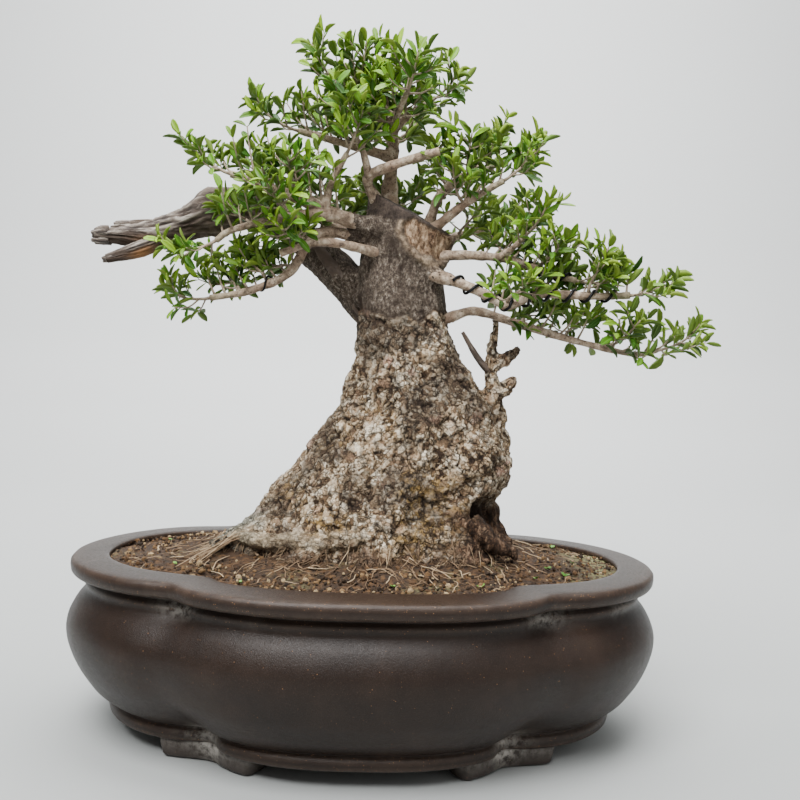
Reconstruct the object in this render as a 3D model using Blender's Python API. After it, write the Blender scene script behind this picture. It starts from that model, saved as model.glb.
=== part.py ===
"""Olive bonsai: an old, wide-based olive with dead wood, in an oval four-lobed clay pot.

Every size below is in millimetres, in a frame centred on the pot: X to the right, Y away from
the viewer, Z up. Heights are measured from just above the ground, where FOOT_BOTTOM lies below 0.
"""
import math
import random

import bmesh
import bpy
from mathutils import Matrix, Vector, noise
from mathutils.bvhtree import BVHTree

MM = 0.001
GAP = 0.35
UP = Vector((0, 0, 1))
# Weld distances in metres: for a curve's loose caps, after a Boolean, and at the sawn top
CAP_WELD = 0.00001
JOINT_WELD = 0.0000001
TOP_WELD = 0.0002

# Where the pot's centre stands, seen from the middle of the whole plant's box
POT_CENTRE = (-22.1, 0, 2.5)

# Pot: a plan of two round end lobes and a front and a back lobe, with a soft notch between them
END_LOBE_INSET = 45
FRONT_LOBE_POWER = 2.6
LOBE_SHARPNESS = 22
NOTCH_DEPTH = 6.5
NOTCH_DEGREES = 40.5
NOTCH_WIDTH_DEGREES = 5
QUADRANT_DEGREES = (0, 12, 24, 33, 37.5, 41, 44.5, 50, 61, 74)

# Pot rings from the rim's inner lip down the outside: half length, half depth, half length of the
# front lobe, height
POT_OUTSIDE = (
    (219, 133.5, 160, 143.5),
    (245, 161.5, 181, 143),
    (249.5, 166, 185, 140.5),
    (249, 165.5, 184.5, 133),
    (245.5, 162, 181, 130.5),
    (235.5, 152, 171.5, 128.5),
    (238, 154.5, 174, 124),
    (237, 153.5, 173, 119),
    (243.5, 160, 177, 109),
    (248.5, 165, 180.5, 99),
    (251, 167.5, 182, 87),
    (248.5, 165.5, 179.5, 72),
    (241, 159, 172, 54),
    (230, 148, 160, 37),
    (219, 138, 149, 27),
    (212.5, 133, 141.5, 24),
    (215.5, 137, 144.5, 20.5),
    (215, 136.5, 144, 15),
    (209, 130.5, 138, 12),
)
# Pot rings up the inside, from the floor to under the lip
POT_FLOOR = 23
POT_INSIDE = (
    (196, 114, 125, POT_FLOOR),
    (231, 149, 162, 58),
    (240, 156.5, 171, 88),
    (226.5, 142, 163, 122),
)
DRAIN_X = 95
DRAIN_RADIUS = 11
DRAIN_SIDES = 16
DRAIN_CUT = 50

# Bracket feet that follow the base band round the four notches
FOOT_MIDDLE_DEGREES = 43.5
FOOT_SPREAD_DEGREES = 12.5
FOOT_STEPS = 7
FOOT_OUTER = (212, 133.5, 141)
FOOT_INNER = (188, 109.5, 117)
FOOT_BOTTOM_SHRINK = 2
FOOT_END_SLANT = 0.1
FOOT_TOP = 15
FOOT_BOTTOM = -2.5
FOOT_EDGE = 2.5

# Drain screens: a plate with square openings
SCREEN_SIDE = 34
SCREEN_THICK = 1.2
SCREEN_HOLE = 10
SCREEN_PITCH = 14

# Soil: a mound that meets the trunk higher than the pot
SOIL_WALL_GAP = 0.85
SOIL_EDGE = (220, 134.8, 161, 138)
SOIL_MID_HEIGHT = 143
SOIL_TRUNK_HEIGHT = 152
HOLE_BOTTOM = 112

# Trunk sections: height, left side, right side, half depth
TRUNK_SECTIONS = (
    (HOLE_BOTTOM + GAP, -104, 112, 68),
    (SOIL_TRUNK_HEIGHT + 1, -133, 138, 86),
    (166, -117, 127, 80),
    (180, -101, 121, 76),
    (193, -92, 115, 72),
    (210, -77, 122, 68),
    (230, -58, 128, 64),
    (250, -42, 122, 58),
    (270, -31, 112, 52),
    (296, -21, 93, 46),
    (320, -15, 76, 41),
    (345, -15, 66, 37),
    (370, -16, 61, 35),
    (395, -14, 60, 34),
    (420, -12, 69, 35),
    (440, -10, 69, 34),
    (482, -8, 60, 30),
)
TRUNK_STEPS_BETWEEN = 16
# Root lobes round the base: direction in degrees, how far it stands out, how wide it is
ROOT_LOBES = (
    (196, 0.10, 13),
    (236, 0.16, 14),
    (276, 0.12, 13),
    (318, 0.15, 15),
    (20, 0.10, 14),
    (62, 0.16, 15),
    (104, 0.12, 14),
    (146, 0.16, 14),
)
ROOT_LOBE_DIP = 0.07
ROOT_LOBE_FADE = 70
# The dark hollow low on the right side: direction, height, depth and the reach of each
HOLLOW_DEGREES = 338
HOLLOW_HEIGHT = 184
HOLLOW_DEPTH = 20
HOLLOW_WIDTH_DEGREES = 13
HOLLOW_TALL = 17
# Lumps of old bark: size across, height on the old bark and on the smoother upper trunk
LUMP_SIZE = 19
LUMP_HEIGHT_OLD = 5.5
LUMP_HEIGHT_YOUNG = 1.6
BARK_CHANGE_HEIGHT = 330
# The sawn top slopes to the right and to the front
TOP_CUT_POINT = (14, 0, 452)
TOP_CUT_NORMAL = (0.51, -0.25, 1)

# Dead wood, surface roots and knobs on the trunk: name, points, radii
LIMBS = (
    ("dead_limb",
     ((12, 6, 352), (-12, 10, 370), (-34, 12, 392), (-60, 15, 415), (-85, 17, 434), (-113, 18, 444),
      (-144, 16, 440), (-170, 13, 428), (-196, 11, 418), (-222, 10, 416), (-246, 10, 415)),
     (19, 19, 17, 15, 13, 15, 18, 15, 10, 8.5, 3.5)),
    ("dead_limb_lower_fork", ((-182, 10, 418), (-205, 5, 404), (-234, 3, 394)), (7, 6, 2.5)),
    ("dead_limb_upper_fork", ((-184, 14, 424), (-208, 15, 426), (-230, 16, 425)), (7, 5, 2.5)),
    ("dead_stump",
     ((104, 0, 246), (109, -4, 266), (106, -5, 290), (103, -5, 318), (106, -5, 338), (106, -5, 354)),
     (10, 8.5, 8, 6.5, 5.5, 4.5)),
    ("dead_stump_knob_low", ((107, -3, 286), (116, -6, 294), (126, -7, 304)), (6, 8, 4.5)),
    ("dead_stump_knob_high", ((101, -4, 309), (115, -7, 319), (126, -8, 330)), (6, 8, 4)),
    ("dead_stump_twig", ((107, -5, 303), (92, -9, 318), (77, -9, 341)), (3.2, 2.8, 1.6)),
    ("side_burl", ((0, -6, 362), (-11, -10, 366), (-17, -12, 371)), (8, 8, 4)),
    ("hanging_sliver", ((-4, -10, 356), (-15, -16, 352), (-20, -18, 342)), (3.5, 2.5, 1.4)),
    ("front_root",
     ((20, -62, 176), (-12, -74, 170), (-44, -75, 167), (-76, -66, 165), (-104, -46, 163)),
     (8, 8, 7.5, 7, 5)),
    ("left_root", ((-78, -26, 182), (-104, -38, 166), (-126, -50, 157.5)), (10, 8, 3.5)),
    ("right_root", ((84, -56, 184), (104, -62, 168), (122, -58, 159)), (9, 7, 4)),
    ("back_root", ((-36, 60, 182), (-62, 74, 167), (-90, 74, 159)), (9, 8, 4)),
    ("back_right_root", ((52, 58, 184), (76, 70, 168), (100, 70, 159)), (9, 8, 4)),
)

# Living branches: name, points, first and last radius, sprays along it, where they start
BRANCHES = (
    ("left_high", ((4, -20, 424), (-31, -36, 431), (-65, -46, 443), (-104, -50, 455), (-119, -50, 459)),
     7, 2.8, 4, 0.42),
    ("left_high_riser", ((-44, -41, 436), (-37, -46, 458), (-26, -50, 480)), 3.4, 2.2, 1, 1),
    ("left_mid", ((-36, -38, 432), (-62, -48, 429), (-113, -56, 414), (-128, -57, 404)), 4.2, 2.4, 3, 0.4),
    ("left_low",
     ((2, -16, 414), (-39, -30, 419), (-55, -34, 410), (-72, -38, 382), (-104, -42, 366),
      (-134, -45, 359)), 5.4, 2.6, 5, 0.4),
    ("left_low_stub", ((12, -12, 402), (-14, -34, 406), (-47, -44, 408), (-78, -48, 397)), 4.2, 3, 0, 0),
    ("front_stub", ((2, -8, 446), (-9, -24, 466), (13, -38, 475), (49, -48, 485)), 4.6, 3.6, 0, 0),
    ("front_stub_riser", ((-8, -26, 468), (-14, -36, 486), (-22, -42, 498)), 3, 2.2, 1, 1),
    ("leader",
     ((10, 18, 432), (10, 14, 472), (11, 10, 500), (8, 8, 522), (-15, 6, 533), (-38, 5, 553)),
     8, 3, 3, 0.66),
    ("leader_middle", ((-10, 7, 530), (-22, -3, 541), (-20, -8, 548)), 3.4, 2.4, 1, 1),
    ("leader_right", ((9, 9, 514), (24, 7, 530), (40, 5, 540)), 4.4, 2.6, 2, 0.55),
    ("leader_left", ((10, 11, 494), (-28, -2, 500), (-70, -12, 507)), 4.2, 2.6, 3, 0.4),
    ("leader_front", ((11, 9, 506), (14, -18, 522), (21, -46, 532)), 3.8, 2.4, 2, 0.5),
    ("leader_back", ((11, 12, 500), (14, 38, 516), (3, 66, 530)), 4, 2.4, 2, 0.5),
    ("right_high", ((44, 4, 430), (53, -2, 458), (68, -8, 471), (97, -15, 482)), 5, 2.6, 3, 0.5),
    ("right_high_fork", ((54, -4, 460), (78, 8, 480), (87, 12, 490)), 3.4, 2.2, 1, 1),
    ("right_mid", ((46, -12, 426), (75, -26, 449), (104, -37, 466)), 4.4, 2.6, 2, 0.5),
    ("right_upper_arm",
     ((44, -10, 398), (61, -18, 405), (107, -22, 404), (149, -24, 392), (170, -26, 387)),
     4.4, 2.8, 3, 0.5),
    ("right_upper_riser", ((104, -22, 404), (115, -30, 412), (122, -35, 419)), 2.8, 2.1, 1, 1),
    ("right_long_arm",
     ((40, -22, 390), (72, -32, 380), (100, -35, 368), (112, -36, 363), (138, -37, 373), (184, -38, 373),
      (213, -38, 375)), 4.8, 2.9, 4, 0.42),
    ("right_low_arm",
     ((44, -2, 344), (70, -8, 355), (90, -11, 359), (130, -13, 348), (182, -14, 335), (226, -14, 327),
      (246, -14, 331)), 4.4, 2.2, 4, 0.42),
    ("back_centre", ((22, 18, 424), (16, 52, 446), (2, 94, 464)), 5.4, 2.6, 3, 0.45),
    ("back_right", ((38, 14, 414), (66, 44, 430), (110, 76, 448)), 5, 2.6, 2, 0.55),
    ("back_left", ((6, 20, 420), (-30, 50, 436), (-84, 78, 457)), 5, 2.6, 2, 0.55),
)
BRANCH_STEP = 38
# A limb thicker than this has eight sides, the others six
THICK_LIMB = 9

# Training wires: name, branch it is wound on, start and end share of its length, wire radius
WIRES = (
    ("wire_long_arm", "right_long_arm", 0.16, 0.95, 1.3),
    ("wire_upper_arm", "right_upper_arm", 0.66, 0.97, 1.2),
    ("wire_left_low", "left_low", 0.66, 0.76, 0.9),
)
WIRE_PITCH = 17
WIRE_POINTS_PER_TURN = 6

# Sprays: a twig with pairs of leaves
TWIG_LENGTH = (30, 40)
TWIG_RADII = (1.3, 1.3, 1.0, 1.0)
TWIG_STEM = 4
TWIG_RISE = 0.42
TIP_RISE = 0.3
# A side spray leans forward by a share, and round its branch by an angle that each try turns on
SIDE_FORWARD = 0.55
SIDE_LEAN_DEGREES = 38
SIDE_LEAN_STEP = math.pi * (3 - math.sqrt(5)) / 4
TRIES_AT_ONE_PLACE = 4
PLACE_STEP = 0.012
SPRAY_TRIES = 24
LEAF_PAIRS = 3
LEAF_FIRST_PAIR = 0.3
LEAF_LAST_PAIR = 0.985
LEAF_SMALLER_AT_TIP = 0.12
LEAF_LENGTH = (15, 21)
LEAF_WIDTH_SHARE = 0.42
LEAF_THICK = 1.1
LEAF_SUNK = 0.1
LEAF_DROOP = 0.1
LEAF_ANGLE_DEGREES = (38, 62)
LEAF_CLEARANCE = 0.5
LEAF_TURNS = (0, 0.35, -0.35, 0.7, -0.7)


def material(name, colour, roughness, metallic=0.0):
    """A plain finish: one colour, roughness and metallic value."""
    finish = bpy.data.materials.new(name)
    finish.use_nodes = True
    shader = finish.node_tree.nodes["Principled BSDF"]
    shader.inputs["Base Color"].default_value = (*colour, 1)
    shader.inputs["Roughness"].default_value = roughness
    shader.inputs["Metallic"].default_value = metallic
    return finish


def start_scene():
    """An empty scene with one collection for the plant and one for the working shapes."""
    for thing in list(bpy.data.objects):
        bpy.data.objects.remove(thing)
    plant = bpy.data.collections.new("olive_bonsai")
    working = bpy.data.collections.new("working_shapes")
    bpy.context.scene.collection.children.link(plant)
    bpy.context.scene.collection.children.link(working)
    return plant, working


def moved_to(thing, collection):
    """Take an object out of its collections and put it in another."""
    for former in list(thing.users_collection):
        former.objects.unlink(thing)
    collection.objects.link(thing)
    return thing


def mesh_object(name, mesh, collection, finish=None):
    """A named object for a mesh."""
    thing = bpy.data.objects.new(name, mesh)
    collection.objects.link(thing)
    if finish:
        mesh.materials.clear()
        mesh.materials.append(finish)
    return thing


def lofted_mesh(name, rings):
    """A closed skin over rings of equal length, each a list of points, with both ends capped."""
    form = bmesh.new()
    rows = [[form.verts.new(Vector(point) * MM) for point in ring] for ring in rings]
    for lower, upper in zip(rows, rows[1:]):
        count = len(lower)
        for i in range(count):
            j = (i + 1) % count
            form.faces.new((lower[i], lower[j], upper[j], upper[i]))
    form.faces.new(list(reversed(rows[0])))
    form.faces.new(rows[-1])
    bmesh.ops.recalc_face_normals(form, faces=form.faces)
    bmesh.ops.triangulate(form, faces=form.faces)
    mesh = bpy.data.meshes.new(name)
    form.to_mesh(mesh)
    form.free()
    return mesh


def taken_mesh(thing, weld):
    """The mesh that an object shows with its modifiers or bevel, its loose points welded."""
    bpy.context.view_layer.update()
    graph = bpy.context.evaluated_depsgraph_get()
    mesh = bpy.data.meshes.new_from_object(thing.evaluated_get(graph))
    form = bmesh.new()
    form.from_mesh(mesh)
    bmesh.ops.remove_doubles(form, verts=form.verts, dist=weld)
    form.to_mesh(mesh)
    form.free()
    return mesh


def limb(name, points, radii, resolution, collection):
    """A tapering round limb, first a bevelled curve and then a closed mesh."""
    curve = bpy.data.curves.new(name, "CURVE")
    curve.dimensions = "3D"
    curve.bevel_depth = MM
    curve.bevel_resolution = resolution
    curve.use_fill_caps = True
    curve.twist_mode = "Z_UP"
    spline = curve.splines.new("POLY")
    spline.points.add(len(points) - 1)
    for point, place, radius in zip(spline.points, points, radii):
        point.co = (*(Vector(place) * MM), 1)
        point.radius = radius
    drawn = mesh_object(name + "_curve", curve, collection)
    solid = mesh_object(name, taken_mesh(drawn, CAP_WELD), collection)
    bpy.data.objects.remove(drawn)
    return solid


def joined(thing, working, pieces, operation="UNION", solver="EXACT"):
    """Join all the given pieces to a thing, or cut them out of it, in one Boolean."""
    group = bpy.data.collections.new(thing.name + "_pieces")
    working.children.link(group)
    for piece in pieces:
        group.objects.link(piece)
    cut = thing.modifiers.new("join", "BOOLEAN")
    cut.operation = operation
    cut.operand_type = "COLLECTION"
    cut.collection = group
    cut.solver = solver
    mesh = taken_mesh(thing, JOINT_WELD)
    thing.modifiers.remove(cut)
    finishes = list(thing.data.materials)
    thing.data = mesh
    mesh.name = thing.name
    mesh.materials.clear()
    for finish in finishes:
        mesh.materials.append(finish)
    for piece in pieces:
        bpy.data.objects.remove(piece)
    bpy.data.collections.remove(group)


def smooth_path(points, step):
    """Points about a step apart on a smooth curve through the given ones."""
    knots = [Vector(point) for point in points]
    knots = [2 * knots[0] - knots[1]] + knots + [2 * knots[-1] - knots[-2]]
    path = []
    for a, b, c, d in zip(knots, knots[1:], knots[2:], knots[3:]):
        count = max(1, round((c - b).length / step))
        for i in range(count):
            t = i / count
            path.append(0.5 * (2 * b + (c - a) * t + (2 * a - 5 * b + 4 * c - d) * t * t
                               + (3 * b - a - 3 * c + d) * t * t * t))
    path.append(knots[-2])
    return path


def path_shares(path):
    """How far along its path each point lies, from 0 to 1."""
    lengths = [0.0]
    for a, b in zip(path, path[1:]):
        lengths.append(lengths[-1] + (b - a).length)
    return [length / lengths[-1] for length in lengths]


def along(path, share):
    """The place and the direction at a share of a path's length."""
    shares = path_shares(path)
    for a, b, start, end in zip(path, path[1:], shares, shares[1:]):
        if share <= end:
            return a.lerp(b, (share - start) / (end - start)), (b - a).normalized()
    return path[-1].copy(), (path[-1] - path[-2]).normalized()


def plan_radius(angle, half_length, half_depth, lobe_length):
    """The pot's plan: the outermost of the end and front lobes, blended, less the notch between."""
    cosine = abs(math.cos(angle))
    sine = abs(math.sin(angle))
    round_end = half_depth - END_LOBE_INSET
    middle = half_length - round_end
    reach = round_end ** 2 - (middle * sine) ** 2
    end = middle * cosine + math.sqrt(reach) if reach > 0 else 1
    power = FRONT_LOBE_POWER
    front = ((cosine / lobe_length) ** power + (sine / half_depth) ** power) ** (-1 / power)
    outer = (end ** LOBE_SHARPNESS + front ** LOBE_SHARPNESS) ** (1 / LOBE_SHARPNESS)
    away = (math.degrees(math.atan2(sine, cosine)) - NOTCH_DEGREES) / NOTCH_WIDTH_DEGREES
    return outer - NOTCH_DEPTH * math.exp(-away ** 2)


def plan_angles():
    """Directions round the pot, closer together at its notches."""
    quarter = [math.radians(degrees) for degrees in QUADRANT_DEGREES]
    mirrored = [math.pi - angle for angle in reversed(quarter[1:])]
    half = quarter + [math.pi / 2] + mirrored
    return half + [angle + math.pi for angle in half]


def pot_ring(half_length, half_depth, lobe_length, height, inset=0):
    """One ring of the pot, or one drawn in from it."""
    ring = []
    for angle in plan_angles():
        radius = plan_radius(angle, half_length - inset, half_depth - inset, lobe_length - inset)
        ring.append((radius * math.cos(angle), radius * math.sin(angle), height))
    return ring


def foot(middle, working):
    """A bracket foot that follows the pot's edge round one notch, with rounded lower edges."""
    rings = []
    for step in range(FOOT_STEPS):
        swing = 2 * step / (FOOT_STEPS - 1) - 1
        angle = middle + math.radians(FOOT_SPREAD_DEGREES) * swing
        at_end = abs(swing) > 0.99
        low_angle = middle + (angle - middle) * (1 - FOOT_END_SLANT * at_end)
        outer = plan_radius(angle, *FOOT_OUTER)
        inner = plan_radius(angle, *FOOT_INNER)
        low_outer = outer - FOOT_BOTTOM_SHRINK
        section = []
        for radius, height, direction in (
            (outer, FOOT_TOP, angle),
            (low_outer, FOOT_BOTTOM + FOOT_EDGE, low_angle),
            (low_outer - FOOT_EDGE, FOOT_BOTTOM, low_angle),
            (inner + FOOT_EDGE, FOOT_BOTTOM, low_angle),
            (inner, FOOT_TOP, angle),
        ):
            section.append((radius * math.cos(direction), radius * math.sin(direction), height))
        rings.append(section)
    return mesh_object("foot", lofted_mesh("foot", rings), working)


def drain_cutter(x, working):
    """A round drain hole through the pot's floor."""
    bpy.ops.mesh.primitive_cylinder_add(vertices=DRAIN_SIDES, radius=DRAIN_RADIUS * MM,
                                        depth=DRAIN_CUT * MM, location=(x * MM, 0, POT_FLOOR * MM))
    return moved_to(bpy.context.object, working)


def make_pot(plant, working, finish):
    """The fired pot: rim, neck bead, belly, base band, four feet and two drain holes in one piece."""
    rings = [pot_ring(*row) for row in reversed(POT_OUTSIDE)]
    rings += [pot_ring(*row) for row in reversed(POT_INSIDE)]
    pot = mesh_object("pot", lofted_mesh("pot", rings), plant, finish)
    middle = math.radians(FOOT_MIDDLE_DEGREES)
    feet = [foot(angle, working) for angle in (middle, math.pi - middle, math.pi + middle, -middle)]
    joined(pot, working, feet)
    drains = [drain_cutter(x, working) for x in (-DRAIN_X, DRAIN_X)]
    joined(pot, working, drains, "DIFFERENCE")
    return pot


def make_screen(name, x, plant, working, finish):
    """A drain screen that lies on the pot's floor over a drain hole."""
    height = (POT_FLOOR + GAP + SCREEN_THICK / 2) * MM
    bpy.ops.mesh.primitive_cube_add(size=1, location=(x * MM, 0, height))
    screen = moved_to(bpy.context.object, plant)
    screen.name = name
    screen.scale = (SCREEN_SIDE * MM, SCREEN_SIDE * MM, SCREEN_THICK * MM)
    bpy.ops.object.transform_apply(location=True, scale=True)
    screen.data.materials.append(finish)
    holes = []
    for column in (-0.5, 0.5):
        for row in (-0.5, 0.5):
            place = ((x + column * SCREEN_PITCH) * MM, row * SCREEN_PITCH * MM, height)
            bpy.ops.mesh.primitive_cube_add(size=SCREEN_HOLE * MM, location=place)
            holes.append(moved_to(bpy.context.object, working))
    joined(screen, working, holes, "DIFFERENCE")
    return screen


def trunk_outline(height):
    """The trunk's sides and half depth at a height, read between its sections."""
    sections = TRUNK_SECTIONS
    if height <= sections[0][0]:
        return sections[0][1:]
    for below, above in zip(sections, sections[1:]):
        if height <= above[0]:
            share = (height - below[0]) / (above[0] - below[0])
            return tuple(a + (b - a) * share for a, b in zip(below[1:], above[1:]))
    return sections[-1][1:]


def angle_between(a, b):
    """The smaller angle between two directions, in degrees."""
    return abs((a - b + 180) % 360 - 180)


def trunk_point(angle, height, outset=0.0):
    """A point of the trunk's skin: an oval with root lobes, a hollow and lumps of old bark."""
    left, right, depth = trunk_outline(height)
    soil_line = SOIL_TRUNK_HEIGHT + 1
    centre = Vector(((left + right) / 2, 0, height))
    half = (right - left) / 2
    radius = 1 / math.sqrt((math.cos(angle) / half) ** 2 + (math.sin(angle) / depth) ** 2)
    degrees = math.degrees(angle) % 360
    bulge = -ROOT_LOBE_DIP
    for lobe, strength, width in ROOT_LOBES:
        bulge += strength * math.exp(-(angle_between(degrees, lobe) / width) ** 2)
    radius *= 1 + bulge * math.exp(-max(0, height - soil_line) / ROOT_LOBE_FADE)
    if height > soil_line:
        away = angle_between(degrees, HOLLOW_DEGREES) / HOLLOW_WIDTH_DEGREES
        above = (height - HOLLOW_HEIGHT) / HOLLOW_TALL
        radius -= HOLLOW_DEPTH * math.exp(-away ** 2 - above ** 2)
        blend = min(1, max(0, (height - BARK_CHANGE_HEIGHT) / 30))
        lump = LUMP_HEIGHT_OLD + (LUMP_HEIGHT_YOUNG - LUMP_HEIGHT_OLD) * blend
        lump *= min(1, (height - soil_line) / 12)
        around = Vector((math.cos(angle) * half, math.sin(angle) * depth, height)) / LUMP_SIZE
        radius += lump * noise.noise(around)
    radius += outset
    return centre + Vector((math.cos(angle), math.sin(angle), 0)) * radius


def trunk_ring(height, outset=0.0):
    """One ring of the trunk."""
    return [trunk_point(angle, height, outset) for angle in plan_angles()]


def trunk_heights():
    """Ring heights: the plain root plug in the soil, and then even steps up the trunk."""
    heights = [TRUNK_SECTIONS[0][0], TRUNK_SECTIONS[1][0]]
    top = TRUNK_SECTIONS[-1][0]
    count = round((top - heights[-1]) / TRUNK_STEPS_BETWEEN)
    step = (top - heights[-1]) / count
    first = heights[-1]
    return heights + [first + step * (i + 1) for i in range(count)]


def make_soil(plant, finish):
    """The soil: it fills the pot, mounds up to the trunk and has a plain hole for the root plug."""
    low_floor = POT_FLOOR + SCREEN_THICK + 2 * GAP
    rings = []
    for *plan, height in POT_INSIDE:
        rings.append(pot_ring(*plan, max(height, low_floor), SOIL_WALL_GAP))
    edge = pot_ring(*SOIL_EDGE)
    mound = trunk_ring(SOIL_TRUNK_HEIGHT, GAP)
    middle = []
    for outside, inside in zip(edge, mound):
        middle.append(((outside[0] + inside[0]) / 2, (outside[1] + inside[1]) / 2, SOIL_MID_HEIGHT))
    hole_floor = [(point[0], point[1], HOLE_BOTTOM) for point in trunk_ring(HOLE_BOTTOM, GAP)]
    rings += [edge, middle, mound, hole_floor]
    return mesh_object("soil", lofted_mesh("soil", rings), plant, finish)


def make_trunk_body(plant, finish):
    """The trunk's body, sawn off at a slope."""
    body = mesh_object("trunk", lofted_mesh("trunk", [trunk_ring(z) for z in trunk_heights()]),
                       plant, finish)
    form = bmesh.new()
    form.from_mesh(body.data)
    cut = bmesh.ops.bisect_plane(form, geom=form.verts[:] + form.edges[:] + form.faces[:],
                                 dist=0.000001, plane_co=Vector(TOP_CUT_POINT) * MM,
                                 plane_no=Vector(TOP_CUT_NORMAL).normalized(), clear_outer=True)
    rim = [part for part in cut["geom_cut"] if isinstance(part, bmesh.types.BMEdge)]
    bmesh.ops.contextual_create(form, geom=rim)
    bmesh.ops.remove_doubles(form, verts=form.verts, dist=TOP_WELD)
    bmesh.ops.recalc_face_normals(form, faces=form.faces)
    bmesh.ops.triangulate(form, faces=form.faces)
    form.to_mesh(body.data)
    form.free()
    return body


def branch_path(points):
    """A branch's smooth run."""
    return smooth_path(points, BRANCH_STEP)


def branch_radii(path, first, last):
    """A branch's radius at each point of its run."""
    return [first + (last - first) * share for share in path_shares(path)]


def side_vector(direction):
    """A level vector square to a direction."""
    side = direction.cross(UP)
    if side.length < 0.01:
        return Vector((1, 0, 0))
    return side.normalized()


def coil_points(path, first, last, start, end, wire_radius):
    """The middle line of a wire wound on a branch."""
    total = sum((b - a).length for a, b in zip(path, path[1:]))
    turns = total * (end - start) / WIRE_PITCH
    count = round(turns * WIRE_POINTS_PER_TURN)
    points = []
    for i in range(count + 1):
        share = start + (end - start) * i / count
        place, direction = along(path, share)
        before = along(path, max(0, share - 0.02))[1]
        after = along(path, min(1, share + 0.02))[1]
        direction = (direction + before + after).normalized()
        side = side_vector(direction)
        over = side.cross(direction)
        reach = first + (last - first) * share + GAP + wire_radius
        reach /= math.cos(math.pi / WIRE_POINTS_PER_TURN)
        turn = 2 * math.pi * i / WIRE_POINTS_PER_TURN
        points.append(place + (side * math.cos(turn) + over * math.sin(turn)) * reach)
    return points


class Neighbours:
    """The placed shapes of every node, for keeping new twigs and leaves clear of the others."""

    def __init__(self):
        self.shapes = []

    def add(self, owner, mesh):
        """Take in a mesh that belongs to a node."""
        points = [vertex.co.copy() for vertex in mesh.vertices]
        faces = [tuple(face.vertices) for face in mesh.polygons]
        self.add_shape(owner, points, faces)

    def add_shape(self, owner, points, faces):
        """Take in a shape given by its points and faces."""
        low = [min(point[axis] for point in points) for axis in range(3)]
        high = [max(point[axis] for point in points) for axis in range(3)]
        self.shapes.append((owner, BVHTree.FromPolygons(points, faces), low, high))

    def clear(self, owner, points, faces):
        """Whether a shape crosses nothing that belongs to another node."""
        low = [min(point[axis] for point in points) for axis in range(3)]
        high = [max(point[axis] for point in points) for axis in range(3)]
        tree = None
        for other, other_tree, other_low, other_high in self.shapes:
            if other == owner:
                continue
            if any(low[i] > other_high[i] or high[i] < other_low[i] for i in range(3)):
                continue
            tree = tree or BVHTree.FromPolygons(points, faces)
            if tree.overlap(other_tree):
                return False
        return True


def leaf_shape(length, width, thick):
    """A blade: an oval outline round a raised middle above and below, from a sunk root to a low tip."""
    half = width / 2
    droop = length * LEAF_DROOP
    points = (
        (0, -LEAF_SUNK, 0),
        (half * 0.94, length * 0.42, 0.02 * length),
        (half * 0.84, length * 0.74, -droop * 0.35),
        (0, length, -droop),
        (-half * 0.84, length * 0.74, -droop * 0.35),
        (-half * 0.94, length * 0.42, 0.02 * length),
        (0, length * 0.4, thick / 2),
        (0, length * 0.4, -thick / 2),
    )
    outline = range(6)
    faces = [(i, (i + 1) % 6, 6) for i in outline] + [((i + 1) % 6, i, 7) for i in outline]
    return [Vector(point) for point in points], faces


def leaf_frame(place, direction, face):
    """The matrix that puts a blade at a place, pointing one way, its upper side another way."""
    across = direction.cross(face).normalized()
    normal = across.cross(direction).normalized()
    frame = Matrix((across, direction, normal)).transposed().to_4x4()
    frame.translation = place
    return frame


def tube_shape(path, radii):
    """A four-sided tube round a path, that stands for a twig when clearance is tested."""
    points = []
    faces = []
    for i, (place, radius) in enumerate(zip(path, radii)):
        before = path[max(0, i - 1)]
        after = path[min(len(path) - 1, i + 1)]
        direction = (after - before).normalized()
        side = side_vector(direction)
        over = side.cross(direction)
        for arm in (side, over, -side, -over):
            points.append(place + arm * radius)
    for i in range(len(path) - 1):
        for corner in range(4):
            a = 4 * i + corner
            b = 4 * i + (corner + 1) % 4
            faces.append((a, b, b + 4, a + 4))
    return points, faces


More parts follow.
